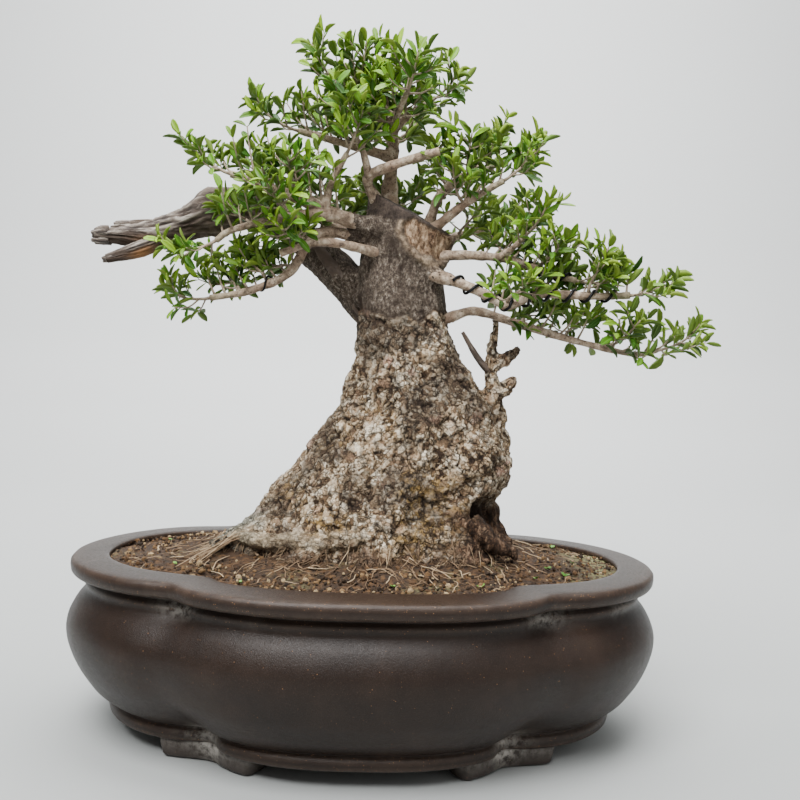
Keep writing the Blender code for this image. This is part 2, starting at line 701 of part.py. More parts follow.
class Spray:
    """One leafy twig: a twig and pairs of leaves."""

    def __init__(self, name, seed, neighbours):
        self.name = name
        self.draw = random.Random(seed)
        self.neighbours = neighbours
        self.path = []
        self.leaves = []

    def has_room(self, points, faces):
        """Whether a shape in millimetres is clear of every other node."""
        scaled = [point * MM for point in points]
        return self.neighbours.clear(self.name, scaled, faces)

    def grow_twig(self, place, square_on, heading, radius):
        """Grow the twig out of a branch's side or tip, or return False where it has no room."""
        length = self.draw.uniform(*TWIG_LENGTH)
        first = place + square_on * (radius + GAP)
        second = first + square_on * TWIG_STEM
        third = second + (heading + square_on * 0.3).normalized() * (length / 2)
        last = third + (heading + UP * TWIG_RISE).normalized() * (length / 2)
        self.path = [first, second, third, last]
        stem, stem_faces = tube_shape(self.path[:2], TWIG_RADII[:2])
        guard_radii = [value + LEAF_CLEARANCE for value in TWIG_RADII[1:]]
        guard, guard_faces = tube_shape(self.path[1:], guard_radii)
        return self.has_room(stem, stem_faces) and self.has_room(guard, guard_faces)

    def grow_leaf(self, place, direction, face, length):
        """Put one leaf where it is clear of other nodes, turned a little or left out if it isn't."""
        width = length * LEAF_WIDTH_SHARE
        for turn in LEAF_TURNS:
            frame = leaf_frame(place, Matrix.Rotation(turn, 3, face) @ direction, face)
            guard, faces = leaf_shape(length + LEAF_CLEARANCE, width + 2 * LEAF_CLEARANCE,
                                      LEAF_THICK + 2 * LEAF_CLEARANCE)
            if self.has_room([frame @ point for point in guard], faces):
                self.leaves.append((frame, length, width))
                return

    def grow_pair(self, share, turn, size):
        """Two opposite leaves on the twig."""
        place, direction = along(self.path, share)
        side = side_vector(direction)
        over = side.cross(direction)
        across = side * math.cos(turn) + over * math.sin(turn)
        for sign in (1, -1):
            spread = math.radians(self.draw.uniform(*LEAF_ANGLE_DEGREES))
            heading = (direction * math.cos(spread) + across * sign * math.sin(spread)).normalized()
            face = direction * 0.5 + UP * 0.6
            face = (face - heading * face.dot(heading)).normalized()
            self.grow_leaf(place, heading, face, self.draw.uniform(*LEAF_LENGTH) * size)

    def grow_leaves(self):
        """Leaves along the twig, each pair a quarter turn from the last."""
        for pair in range(LEAF_PAIRS):
            step = (pair + 1) / LEAF_PAIRS
            share = LEAF_FIRST_PAIR + (LEAF_LAST_PAIR - LEAF_FIRST_PAIR) * step
            turn = math.pi / 4 + pair * math.pi / 2
            self.grow_pair(share, turn, 1 - LEAF_SMALLER_AT_TIP * step)

    def build(self, plant, working, finish):
        """Fuse the twig and its leaves into one solid."""
        body = limb(self.name, self.path, TWIG_RADII, 0, plant)
        body.data.materials.append(finish)
        self.neighbours.add(self.name, body.data)
        blades = []
        for frame, length, width in self.leaves:
            points, faces = leaf_shape(length, width, LEAF_THICK)
            mesh = bpy.data.meshes.new("leaf")
            mesh.from_pydata([frame @ point * MM for point in points], [], faces)
            blade = mesh_object("leaf", mesh, working)
            self.neighbours.add(self.name, mesh)
            blades.append(blade)
        joined(body, working, blades)
        return body


def spray_places():
    """Each spray's branch run, radius and share along it, and its count from the branch's tip."""
    places = []
    for name, points, first, last, count, start in BRANCHES:
        path = branch_path(points)
        for order in range(count):
            share = 1 if count == 1 else 1 - (1 - start) * order / (count - 1)
            places.append((path, first + (last - first) * share, share, order))
    return places


def grow_spray(number, path, radius, share, order, neighbours):
    """Find room for one spray on its branch."""
    for attempt in range(SPRAY_TRIES):
        spray = Spray(f"spray_{number:02d}", number * 101 + attempt, neighbours)
        if order == 0:
            place, direction = along(path, 1)
            square_on = direction
            heading = (direction + UP * TIP_RISE).normalized()
            reach = 0
        else:
            shift = attempt // TRIES_AT_ONE_PLACE * PLACE_STEP * (-1) ** attempt
            place, direction = along(path, share + shift)
            side = side_vector(direction)
            over = side.cross(direction)
            lean = math.radians(SIDE_LEAN_DEGREES) + attempt * SIDE_LEAN_STEP
            sign = 1 if order % 2 else -1
            square_on = (side * sign * math.cos(lean) + over * math.sin(lean)).normalized()
            heading = (direction * SIDE_FORWARD + square_on).normalized()
            reach = radius
        if spray.grow_twig(place, square_on, heading, reach):
            spray.grow_leaves()
            return spray
    return None


def main():
    """Build the plant."""
    plant, working = start_scene()
    clay = material("brown_clay", (0.055, 0.036, 0.028), 0.42)
    earth = material("soil", (0.10, 0.055, 0.03), 0.95)
    screen_plastic = material("screen_plastic", (0.02, 0.02, 0.02), 0.6)
    bark = material("olive_wood", (0.33, 0.27, 0.20), 0.85)
    wire_metal = material("black_wire", (0.02, 0.02, 0.022), 0.4, 1.0)
    leaf_green = material("leaf_green", (0.13, 0.27, 0.04), 0.45)

    stand = bpy.data.objects.new("stand_point", None)
    plant.objects.link(stand)
    stand.location = Vector(POT_CENTRE) * MM

    neighbours = Neighbours()
    nodes = [make_pot(plant, working, clay)]
    nodes.append(make_soil(plant, earth))
    for name, x in (("drain_screen_left", -DRAIN_X), ("drain_screen_right", DRAIN_X)):
        nodes.append(make_screen(name, x, plant, working, screen_plastic))

    trunk = make_trunk_body(plant, bark)
    neighbours.add("trunk", trunk.data)
    grown = []
    for name, points, radii in LIMBS:
        path = [Vector(point) for point in points]
        grown.append(limb(name, path, radii, 2 if max(radii) > THICK_LIMB else 1, working))
    paths = {}
    for name, points, first, last, count, start in BRANCHES:
        path = branch_path(points)
        paths[name] = (path, first, last)
        grown.append(limb(name, path, branch_radii(path, first, last), 1, working))
    for piece in grown:
        neighbours.add("trunk", piece.data)
    joined(trunk, working, grown, solver="MANIFOLD")
    nodes.append(trunk)

    for name, branch, start, end, wire_radius in WIRES:
        path, first, last = paths[branch]
        points = coil_points(path, first, last, start, end, wire_radius)
        wire = limb(name, points, [wire_radius] * len(points), 1, plant)
        wire.data.materials.append(wire_metal)
        neighbours.add(name, wire.data)
        nodes.append(wire)

    for number, place in enumerate(spray_places(), 1):
        spray = grow_spray(number, *place, neighbours)
        if spray:
            nodes.append(spray.build(plant, working, leaf_green))

    for node in nodes:
        node.parent = stand


main()
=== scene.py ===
"""Looks of the olive bonsai: pot, soil, bark, dead wood, wires and leaves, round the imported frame.

Plant shapes are worked out in millimetres, in a frame centred on the pot: X to the right, Y away
from the viewer, Z up. place() turns them to the metres of the frame.
"""
import math
import random

import bpy
import numpy as np
from mathutils import Matrix, Vector, noise


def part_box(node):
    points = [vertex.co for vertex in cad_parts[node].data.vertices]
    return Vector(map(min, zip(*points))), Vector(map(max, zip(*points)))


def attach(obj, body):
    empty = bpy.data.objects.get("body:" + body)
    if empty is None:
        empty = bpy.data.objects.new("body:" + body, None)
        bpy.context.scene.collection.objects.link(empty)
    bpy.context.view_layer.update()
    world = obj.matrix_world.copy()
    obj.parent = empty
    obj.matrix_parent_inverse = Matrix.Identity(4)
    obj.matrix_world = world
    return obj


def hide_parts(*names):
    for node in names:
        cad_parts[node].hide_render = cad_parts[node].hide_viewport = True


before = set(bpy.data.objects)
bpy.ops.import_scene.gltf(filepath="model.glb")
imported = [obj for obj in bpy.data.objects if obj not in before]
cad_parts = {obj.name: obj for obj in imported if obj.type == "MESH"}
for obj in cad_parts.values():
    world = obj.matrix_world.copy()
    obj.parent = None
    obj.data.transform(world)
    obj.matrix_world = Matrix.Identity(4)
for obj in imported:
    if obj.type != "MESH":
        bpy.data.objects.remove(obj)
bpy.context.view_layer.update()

MM = 0.001
UP = Vector((0, 0, 1))
GAP = 0.35
NEARLY_UPRIGHT = 0.01
TUBE_UPRIGHT = 0.05
pot_low, pot_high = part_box("pot")
FOOT_BOTTOM = -2.5
CENTRE = np.array([(pot_low[0] + pot_high[0]) / 2, (pot_low[1] + pot_high[1]) / 2,
                   pot_low[2] - FOOT_BOTTOM * MM])

# Camera: fitted to the pot's rim, belly, base band and feet
CAMERA_PLACE = (5.4, -731.3, 298.3)
CAMERA_YAW = 1.56
CAMERA_PITCH = -1.43
CAMERA_ROLL = 2.03
LENS = 37.52
SENSOR = 36

# Pot, as in the construction: two round end lobes, a front and a back lobe and four notches
END_LOBE_INSET = 45
FRONT_LOBE_POWER = 2.6
LOBE_SHARPNESS = 22
NOTCH_DEPTH = 6.5
NOTCH_DEGREES = 40.5
NOTCH_WIDTH_DEGREES = 5
BELLY_NOTCH_DEPTH = 2.0
BELLY_SHARPNESS = 11
FOOT_NOTCH_DEPTH = 1
POT_ANGLES = 380
POT_STEP = 2.6
# Rings up the inside, over the rim and down to the floor: half length, half depth, lobe, height
POT_ROWS = (
    (226.2, 141.7, 162.9, 118), (222, 136.8, 161, 134), (219.2, 133.6, 160, 140.6),
    (219.6, 134.1, 160.3, 142.8), (222.5, 137.2, 162.6, 143.9), (233, 148.4, 171, 143.8),
    (243.5, 159.8, 179.6, 143.3),
    (247.6, 164.2, 183.2, 142.3), (249.4, 165.9, 184.9, 140.2), (249.6, 166, 185, 137),
    (249.1, 165.6, 184.6, 133.4), (247.8, 164.3, 183.3, 131.6), (244.5, 161, 180, 130.4),
    (238, 154.5, 174, 129.5), (235.4, 151.9, 171.4, 128.2), (235.6, 152.1, 171.6, 126.7),
    (237.4, 153.9, 173.4, 125), (238.3, 154.8, 174.2, 122.6), (237.6, 154.1, 173.5, 120.2),
    (237.6, 154.2, 173.5, 117.8), (239.4, 156, 174.8, 114), (243.3, 159.8, 177, 109.2),
    (246.5, 163, 179.2, 103.5), (249.2, 165.7, 180.9, 97), (250.8, 167.3, 181.9, 90.5), (251, 167.5, 182, 85),
    (250.2, 167, 181.2, 78.5), (248.3, 165.3, 179.4, 71.5), (245.2, 162.6, 176.3, 63), (241, 159, 172, 54),
    (236, 154, 166.5, 45.5), (230, 148, 160, 37), (223, 141.4, 153, 30.5), (217.4, 136.4, 147.3, 26.4),
    (213.6, 133.6, 143, 25), (213.4, 133.6, 142.7, 24.2), (214.6, 135.4, 143.8, 23), (216, 137.3, 145, 21),
    (216.3, 137.6, 145.2, 18), (215.6, 137, 144.6, 15.2), (213.3, 134.8, 142.2, 13), (209, 130.5, 138, 12),
    (196, 117, 125, 12),
)
# Worn edges of rim, bead and base band: height and half width of each
WORN_EDGES = ((141.6, 1.9), (132.4, 1.6), (123, 1.6), (22, 1.8), (15, 1.4))
FOOT_MIDDLE_DEGREES = 41.5
FOOT_SPREAD_DEGREES = 15.5
FOOT_OUTER = (212, 133.5, 141)
FOOT_INNER = (188, 109.5, 117)
FOOT_SHRINK = 3
FOOT_TOP = 15
FOOT_SECTIONS = 41
FOOT_CORNERS = 28
FOOT_CORNER_POWER = 0.4
FOOT_INSIDE_SHRINK = 0.3
FOOT_LEAN_DEGREES = 1.5
FOOT_END_FROM = 0.84
FOOT_END_LENGTH = 0.16
FOOT_END_SHRINK = 0.8
BELLY_HEIGHT = 78
BELLY_REACH = 42
NECK_HEIGHT = 124
BASE_BAND_HEIGHT = 23
FLAT_BELOW = 14

# Soil, as in the construction
SOIL_EDGE_HEIGHT = 138
SOIL_MID_HEIGHT = 143
SOIL_TRUNK_HEIGHT = 152
SOIL_EDGE = (220.5, 135.3, 161.5)
SOIL_COLUMNS = 380
SOIL_ROWS = 84
GRAIN_COUNT = 3300
PEBBLE_SIZE = 2.2
LOOSE_ROOTS = 420
HANGING_ROOTS = 110
SPREAD_ROOTS = 36
ROOT_STEPS = 8
THICK_ROOT_EVERY = 23
ROOT_TONES = ((0.0, (0.085, 0.050, 0.026)), (0.6, (0.21, 0.135, 0.075)), (1.0, (0.46, 0.35, 0.22)))
SEEDLING_PLACES = ((-92, -112), (-150, -66), (150, -52), (162, -64), (136, -78), (178, -22), (88, -108),
                   (-178, 30), (120, 96), (-30, 118), (-126, 88), (60, 124), (22, -118), (174, 44))

# Trunk, as in the construction: height, left side, right side, half depth
TRUNK_SECTIONS = (
    (112.35, -104, 112, 68),
    (SOIL_TRUNK_HEIGHT + 1, -133, 138, 86),
    (166, -117, 127, 80),
    (180, -101, 121, 76),
    (193, -92, 115, 72),
    (210, -77, 122, 68),
    (230, -58, 128, 64),
    (250, -42, 122, 58),
    (270, -31, 112, 52),
    (296, -21, 93, 46),
    (320, -15, 76, 41),
    (345, -15, 66, 37),
    (370, -16, 61, 35),
    (395, -14, 60, 34),
    (420, -12, 69, 35),
    (440, -10, 69, 34),
    (482, -8, 60, 30),
)
ROOT_LOBES = (
    (196, 0.10, 13),
    (236, 0.16, 14),
    (276, 0.12, 13),
    (318, 0.15, 15),
    (20, 0.10, 14),
    (62, 0.16, 15),
    (104, 0.12, 14),
    (146, 0.16, 14),
)
ROOT_LOBE_DIP = 0.07
ROOT_LOBE_FADE = 70
HOLLOW_DEGREES = 338
HOLLOW_HEIGHT = 184
HOLLOW_DEPTH = 20
HOLLOW_WIDTH_DEGREES = 13
HOLLOW_TALL = 17
LUMP_SIZE = 19
LUMP_HEIGHT_OLD = 5.5
LUMP_HEIGHT_YOUNG = 1.6
BARK_CHANGE_HEIGHT = 330
TOP_CUT_POINT = (14, 0, 452)
TOP_CUT_NORMAL = (0.51, -0.25, 1)
TRUNK_BOTTOM = 138
TRUNK_VOXEL = 1.42
TRUNK_SPLIT_HEIGHT = 300
TRUNK_COLUMNS = 180
TRUNK_RING_STEP = 4.0
TRUNK_CENTRE = (24, 0)
TRUNK_REACH = 34
BRANCH_ROOT_LENGTH = 30
CUT_ROUNDS = 4
SHARES_TO_CUT = (0.25, 0.5, 0.75, 0.93, 1.0)
PLATE_SIZE = 9.5
FLAKE_SIZE = 5.2

# Dead wood, roots and knobs, as in the construction: name, points, radii
DEAD_LIMBS = (
    ("dead_limb",
     ((12, 6, 352), (-12, 10, 370), (-34, 12, 392), (-60, 15, 415), (-85, 17, 434), (-113, 18, 444),
      (-144, 16, 440), (-170, 13, 428), (-196, 11, 418), (-222, 10, 416), (-246, 10, 415)),
     (19, 19, 17, 15, 13, 15, 18, 15, 11, 9.5, 5.5)),
    ("dead_limb_lower_fork", ((-182, 10, 418), (-205, 5, 404), (-234, 3, 394)), (7, 7, 3.5)),
    ("dead_limb_upper_fork", ((-184, 14, 424), (-208, 15, 426), (-230, 16, 425)), (7, 5, 3)),
)
TRUNK_LIMBS = (
    ("dead_stump",
     ((104, 0, 246), (109, -4, 266), (106, -5, 290), (103, -5, 318), (106, -5, 338), (106, -5, 354)),
     (10, 8.5, 8, 6.5, 5.5, 4.5)),
    ("dead_stump_knob_low", ((107, -3, 286), (116, -6, 294), (126, -7, 304)), (6, 8, 4.5)),
    ("dead_stump_knob_high", ((101, -4, 309), (115, -7, 319), (126, -8, 330)), (6, 8, 4)),
    ("side_burl", ((0, -6, 362), (-11, -10, 366), (-17, -12, 371)), (8, 8, 4)),
    ("front_root",
     ((20, -62, 176), (-12, -74, 170), (-44, -75, 167), (-76, -66, 165), (-104, -46, 163)),
     (8, 8, 7.5, 7, 5)),
    ("left_root", ((-78, -26, 182), (-104, -38, 166), (-126, -50, 157.5)), (10, 8, 3.5)),
    ("right_root", ((84, -56, 184), (104, -62, 168), (122, -58, 159)), (9, 7, 4)),
    ("back_root", ((-36, 60, 182), (-62, 74, 167), (-90, 74, 159)), (9, 8, 4)),
    ("back_right_root", ((52, 58, 184), (76, 70, 168), (100, 70, 159)), (9, 8, 4)),
)
FRONT_ROOT = next(places for name, places, _ in TRUNK_LIMBS if name == "front_root")
STUMP_CENTRE = (108, -5)
STUMP_TWIG = ((107, -5, 303), (92, -9, 318), (77, -9, 341))
STUMP_TWIG_RADII = (3.2, 2.8, 1.6)
# The splintered end of each dead limb: how wide it spreads, how many splinters
SPLINTERED_ENDS = ((6.0, 13), (3.0, 5), (3.0, 5))
LONG_LIMB_POINTS = 20

# Living branches, as in the construction: name, points, first and last radius, sprays, where they start
BRANCHES = (
    ("left_high", ((4, -20, 424), (-31, -36, 431), (-65, -46, 443), (-104, -50, 455), (-119, -50, 459)),
     7, 2.8, 4, 0.42),
    ("left_high_riser", ((-44, -41, 436), (-37, -46, 458), (-26, -50, 480)), 3.4, 2.2, 1, 1),
    ("left_mid", ((-36, -38, 432), (-62, -48, 429), (-113, -56, 414), (-128, -57, 404)), 4.2, 2.4, 3, 0.4),
    ("left_low",
     ((2, -16, 414), (-39, -30, 419), (-55, -34, 410), (-72, -38, 382), (-104, -42, 366),
      (-134, -45, 359)), 5.4, 2.6, 5, 0.4),
    ("left_low_stub", ((12, -12, 402), (-14, -34, 406), (-47, -44, 408), (-78, -48, 397)), 4.2, 3, 0, 0),
    ("front_stub", ((2, -8, 446), (-9, -24, 466), (13, -38, 475), (49, -48, 485)), 4.6, 3.6, 0, 0),
    ("front_stub_riser", ((-8, -26, 468), (-14, -36, 486), (-22, -42, 498)), 3, 2.2, 1, 1),
    ("leader",
     ((10, 18, 432), (10, 14, 472), (11, 10, 500), (8, 8, 522), (-15, 6, 533), (-38, 5, 553)),
     8, 3, 3, 0.66),
    ("leader_middle", ((-10, 7, 530), (-22, -3, 541), (-20, -8, 548)), 3.4, 2.4, 1, 1),
    ("leader_right", ((9, 9, 514), (24, 7, 530), (40, 5, 540)), 4.4, 2.6, 2, 0.55),
    ("leader_left", ((10, 11, 494), (-28, -2, 500), (-70, -12, 507)), 4.2, 2.6, 3, 0.4),
    ("leader_front", ((11, 9, 506), (14, -18, 522), (21, -46, 532)), 3.8, 2.4, 2, 0.5),
    ("leader_back", ((11, 12, 500), (14, 38, 516), (3, 66, 530)), 4, 2.4, 2, 0.5),
    ("right_high", ((44, 4, 430), (53, -2, 458), (68, -8, 471), (97, -15, 482)), 5, 2.6, 3, 0.5),
    ("right_high_fork", ((54, -4, 460), (78, 8, 480), (87, 12, 490)), 3.4, 2.2, 1, 1),
    ("right_mid", ((46, -12, 426), (75, -26, 449), (104, -37, 466)), 4.4, 2.6, 2, 0.5),
    ("right_upper_arm",
     ((44, -10, 398), (61, -18, 405), (107, -22, 404), (149, -24, 392), (170, -26, 387)),
     4.4, 2.8, 3, 0.5),
    ("right_upper_riser", ((104, -22, 404), (115, -30, 412), (122, -35, 419)), 2.8, 2.1, 1, 1),
    ("right_long_arm",
     ((40, -22, 390), (72, -32, 380), (100, -35, 368), (112, -36, 363), (138, -37, 373), (184, -38, 373),
      (213, -38, 375)), 4.8, 2.9, 4, 0.42),
    ("right_low_arm",
     ((44, -2, 344), (70, -8, 355), (90, -11, 359), (130, -13, 348), (182, -14, 335), (226, -14, 327),
      (246, -14, 331)), 4.4, 2.2, 4, 0.42),
    ("back_centre", ((22, 18, 424), (16, 52, 446), (2, 94, 464)), 5.4, 2.6, 3, 0.45),
    ("back_right", ((38, 14, 414), (66, 44, 430), (110, 76, 448)), 5, 2.6, 2, 0.55),
    ("back_left", ((6, 20, 420), (-30, 50, 436), (-84, 78, 457)), 5, 2.6, 2, 0.55),
)
BRANCH_STEP = 38
BRANCH_SIDES = 14
FINE_STEP = 3.0

# Training wires, as in the construction: name, branch, start and end share, wire radius
WIRES = (
    ("wire_long_arm", "right_long_arm", 0.16, 0.95, 1.3),
    ("wire_upper_arm", "right_upper_arm", 0.66, 0.97, 1.2),
    ("wire_left_low", "left_low", 0.66, 0.76, 0.9),
)
WIRE_PITCH = 17
WIRE_POINTS_PER_TURN = 20
WIRE_SIDES = 10

# Sprays, as in the construction
TWIG_LENGTH = (30, 40)
TWIG_RADIUS = 1.3
TWIG_STEM = 4
TWIG_RISE = 0.42
TIP_RISE = 0.3
SIDE_FORWARD = 0.55
SIDE_LEAN_DEGREES = 38
SIDE_LEAN_STEP = math.pi * (3 - math.sqrt(5)) / 4
TRIES_AT_ONE_PLACE = 4
PLACE_STEP = 0.012
SPRAY_TRIES = 24
LEAF_LENGTH = (13, 22)
LEAF_ANGLE_DEGREES = (30, 60)

# Finer growth: where pairs of leaves and side twigs stand along a twig, and how they differ
TWIG_SLOT = 2
TWIG_SUNK = 1.6
MAIN_STATIONS = (0.34, 0.50, 0.64, 0.76, 0.88, 0.985)
SIDE_TWIG_PLACES = (0.08, 0.22, 0.36, 0.50, 0.64, 0.78)
SIDE_TWIG = {"radii": (0.8, 0.65, 0.45), "young": 0.6, "stations": (0.48, 0.76, 0.985),
             "fresh_from": 0.45, "fresh_gain": 1.5, "fresh_most": 1.0, "smaller": 0.30}
SHOOT = {"radii": (1.1, 0.8, 0.5), "young": 0.3, "stations": (0.42, 0.70, 0.985),
         "fresh_from": 0.5, "fresh_gain": 1.0, "fresh_most": 1.3, "smaller": 0.25}
TALL_SHOOTS = ("left_high", "leader_left")


def place(points):
    """Millimetres round the pot's centre, turned to the frame's metres."""
    return np.asarray(points, dtype=float) * MM + CENTRE


# Noise for whole arrays of points

def hashed(x, y, z, salt):
    """A random value from 0 to 1 for each whole-number cell."""
    x, y, z = (np.asarray(part, dtype=np.int64).astype(np.uint64) for part in (x, y, z))
    value = x * np.uint64(0x9E3779B1) ^ y * np.uint64(0x85EBCA77) ^ z * np.uint64(0xC2B2AE3D)
    value ^= np.uint64(salt * 0x27D4EB2F + 0x165667B1)
    value ^= value >> np.uint64(15)
    value *= np.uint64(0x2C1B3C6D)
    value ^= value >> np.uint64(13)
    value *= np.uint64(0x297A2D39)
    value ^= value >> np.uint64(16)
    return (value & np.uint64(0xFFFFFF)).astype(float) / 0xFFFFFF


def soft_noise(points, size, salt=0):
    """Smooth random values from -1 to 1."""
    scaled = points / size
    cell = np.floor(scaled)
    part = scaled - cell
    part = part * part * (3 - 2 * part)
    total = np.zeros(len(points))
    for dx in (0, 1):
        for dy in (0, 1):
            for dz in (0, 1):
                x, y, z = np.abs(1 - np.array((dx, dy, dz)) - part).T
                total += x * y * z * hashed(cell[:, 0] + dx, cell[:, 1] + dy, cell[:, 2] + dz, salt)
    return total * 2 - 1


def rough_noise(points, size, octaves=3, salt=0):
    """Soft noise at several sizes, each half the last."""
    total = np.zeros(len(points))
    for octave in range(octaves):
        total += soft_noise(points, size / 2 ** octave, salt + octave * 17) / 2 ** octave
    return total


def cells(points, size, salt=0):
    """Nearest cell of a random scatter: distance, second distance, its random value, vector to it."""
    scaled = points / size
    base = np.floor(scaled)
    first = np.full(len(points), 9.0)
    second = np.full(len(points), 9.0)
    value = np.zeros(len(points))
    to_cell = np.zeros_like(points)
    for dx in (-1, 0, 1):
        for dy in (-1, 0, 1):
            for dz in (-1, 0, 1):
                cell = base + (dx, dy, dz)
                spots = np.stack([hashed(cell[:, 0], cell[:, 1], cell[:, 2], salt + i) for i in range(3)], 1)
                gap = cell + spots - scaled
                distance = np.linalg.norm(gap, axis=1)
                nearer = distance < first
                second = np.where(nearer, first, np.minimum(second, distance))
                first = np.where(nearer, distance, first)
                value = np.where(nearer, hashed(cell[:, 0], cell[:, 1], cell[:, 2], salt + 7), value)
                to_cell = np.where(nearer[:, None], gap, to_cell)
    return first, second, value, to_cell


def ramp(values, low, high):
    """Smooth step from 0 at low to 1 at high."""
    share = np.clip((values - low) / (high - low), 0, 1)
    return share * share * (3 - 2 * share)


# Meshes

def mesh_from(name, points, faces, materials, smooth=True):
    """An object from points in millimetres and faces of three or four corners."""
    mesh = bpy.data.meshes.new(name)
    points = place(points)
    faces = [np.asarray(part, dtype=np.int32) for part in (faces if isinstance(faces, list) else [faces])]
    loops = np.concatenate([part.ravel() for part in faces])
    sizes = np.concatenate([np.full(len(part), part.shape[1], dtype=np.int32) for part in faces])
    starts = np.concatenate([[0], np.cumsum(sizes)[:-1]]).astype(np.int32)
    mesh.vertices.add(len(points))
    mesh.vertices.foreach_set("co", points.astype(np.float32).ravel())
    mesh.loops.add(len(loops))
    mesh.loops.foreach_set("vertex_index", loops)
    mesh.polygons.add(len(sizes))
    mesh.polygons.foreach_set("loop_start", starts)
    mesh.polygons.foreach_set("use_smooth", np.full(len(sizes), smooth))
    mesh.update(calc_edges=True)
    for finish in materials:
        mesh.materials.append(finish)
    thing = bpy.data.objects.new(name, mesh)
    bpy.context.scene.collection.objects.link(thing)
    return thing


def attribute(thing, name, values):
    """Store one number for each point of an object's mesh."""
    thing.data.attributes.new(name, "FLOAT", "POINT")
    thing.data.attributes[name].data.foreach_set("value", np.asarray(values, dtype=np.float32))


def grid_faces(rows, columns, closed=True, start=0):
    """The quads of a grid of points, joined round its columns when closed."""
    row = np.arange(rows - 1)[:, None]
    column = np.arange(columns if closed else columns - 1)[None, :]
    after = (column + 1) % columns
    faces = np.stack([row * columns + column, row * columns + after,
                      (row + 1) * columns + after, (row + 1) * columns + column], -1)
    return faces.reshape(-1, 4) + start


class Heap:
    """Many small shapes gathered into one mesh, with numbers for each point."""

    def __init__(self):
        self.points = []
        self.quads = []
        self.triangles = []
        self.numbers = {}
        self.slots = {3: [], 4: []}
        self.count = 0

    def add(self, points, quads=None, triangles=None, slots=0, **numbers):
        """Take in one shape. Slots may be one number or one for each quad, and triangles take the last."""
        last = slots if np.isscalar(slots) else slots[-1]
        for faces, store, corners, slot in ((quads, self.quads, 4, slots),
                                            (triangles, self.triangles, 3, last)):
            if faces is not None and len(faces):
                store.append(np.asarray(faces) + self.count)
                self.slots[corners].append(np.broadcast_to(slot, len(faces)))
        self.points.append(np.asarray(points, dtype=float))
        for name, value in numbers.items():
            self.numbers.setdefault(name, []).append(np.broadcast_to(value, len(points)))
        self.count += len(points)

    def add_tube(self, path, radii, sides, relief=None, **numbers):
        """Take in one tube."""
        points, quads, triangles = tube(path, radii, sides, relief)
        self.add(points, quads=quads, triangles=triangles, **numbers)

    def build(self, name, materials, smooth=True):
        """The gathered object."""
        faces = []
        slots = []
        for store, corners in ((self.quads, 4), (self.triangles, 3)):
            if store:
                faces.append(np.concatenate(store))
                slots.append(np.concatenate(self.slots[corners]))
        thing = mesh_from(name, np.concatenate(self.points), faces, materials, smooth)
        thing.data.polygons.foreach_set("material_index", np.concatenate(slots).astype(np.int32))
        for number, values in self.numbers.items():
            attribute(thing, number, np.concatenate(values))
        return thing

    def finish(self, name, materials, slot, *nodes, smooth=True):
        """The gathered object as a finished piece."""
        return finished(self.build(name, materials, smooth), slot, *nodes)


def finished(thing, slot, *nodes):
    """Let a piece ride with the plant and stand for its nodes; its slot is not used."""
    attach(thing, "root")
    if nodes:
        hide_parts(*nodes)
    return thing


# Paths and tubes

def smooth_path(points, step):
    """Points about a step apart on a smooth curve through the given ones."""
    knots = [Vector(point) for point in points]
    knots = [2 * knots[0] - knots[1]] + knots + [2 * knots[-1] - knots[-2]]
    path = []
    for a, b, c, d in zip(knots, knots[1:], knots[2:], knots[3:]):
        count = max(1, round((c - b).length / step))
        for i in range(count):
            t = i / count
            path.append(0.5 * (2 * b + (c - a) * t + (2 * a - 5 * b + 4 * c - d) * t * t
                               + (3 * b - a - 3 * c + d) * t * t * t))
    path.append(knots[-2])
    return path


def path_shares(path):
    """How far along its path each point lies, from 0 to 1."""
    lengths = [0.0]
    for a, b in zip(path, path[1:]):
        lengths.append(lengths[-1] + (b - a).length)
    return [length / lengths[-1] for length in lengths]


def along(path, share):
    """The place and the direction at a share of a path's length."""
    shares = path_shares(path)
    for a, b, start, end in zip(path, path[1:], shares, shares[1:]):
        if share <= end:
            return a.lerp(b, (share - start) / (end - start)), (b - a).normalized()
    return path[-1].copy(), (path[-1] - path[-2]).normalized()


def resampled(path, values, step):
    """A path drawn finer on a smooth curve, with its values read between the same points."""
    fine = smooth_path(path, step)
    return fine, np.interp(path_shares(fine), path_shares(path), values)


def side_vector(direction):
    """A level vector square to a direction."""
    side = direction.cross(UP)
    if side.length < NEARLY_UPRIGHT:
        return Vector((1, 0, 0))
    return side.normalized()


def fan(columns, centre, start=0, flipped=False):
    """Triangles from a ring of points to one centre point."""
    column = np.arange(columns) + start
    after = np.roll(column, -1)
    first, second = (after, column) if flipped else (column, after)
    return np.stack([first, second, np.full(columns, centre)], 1)


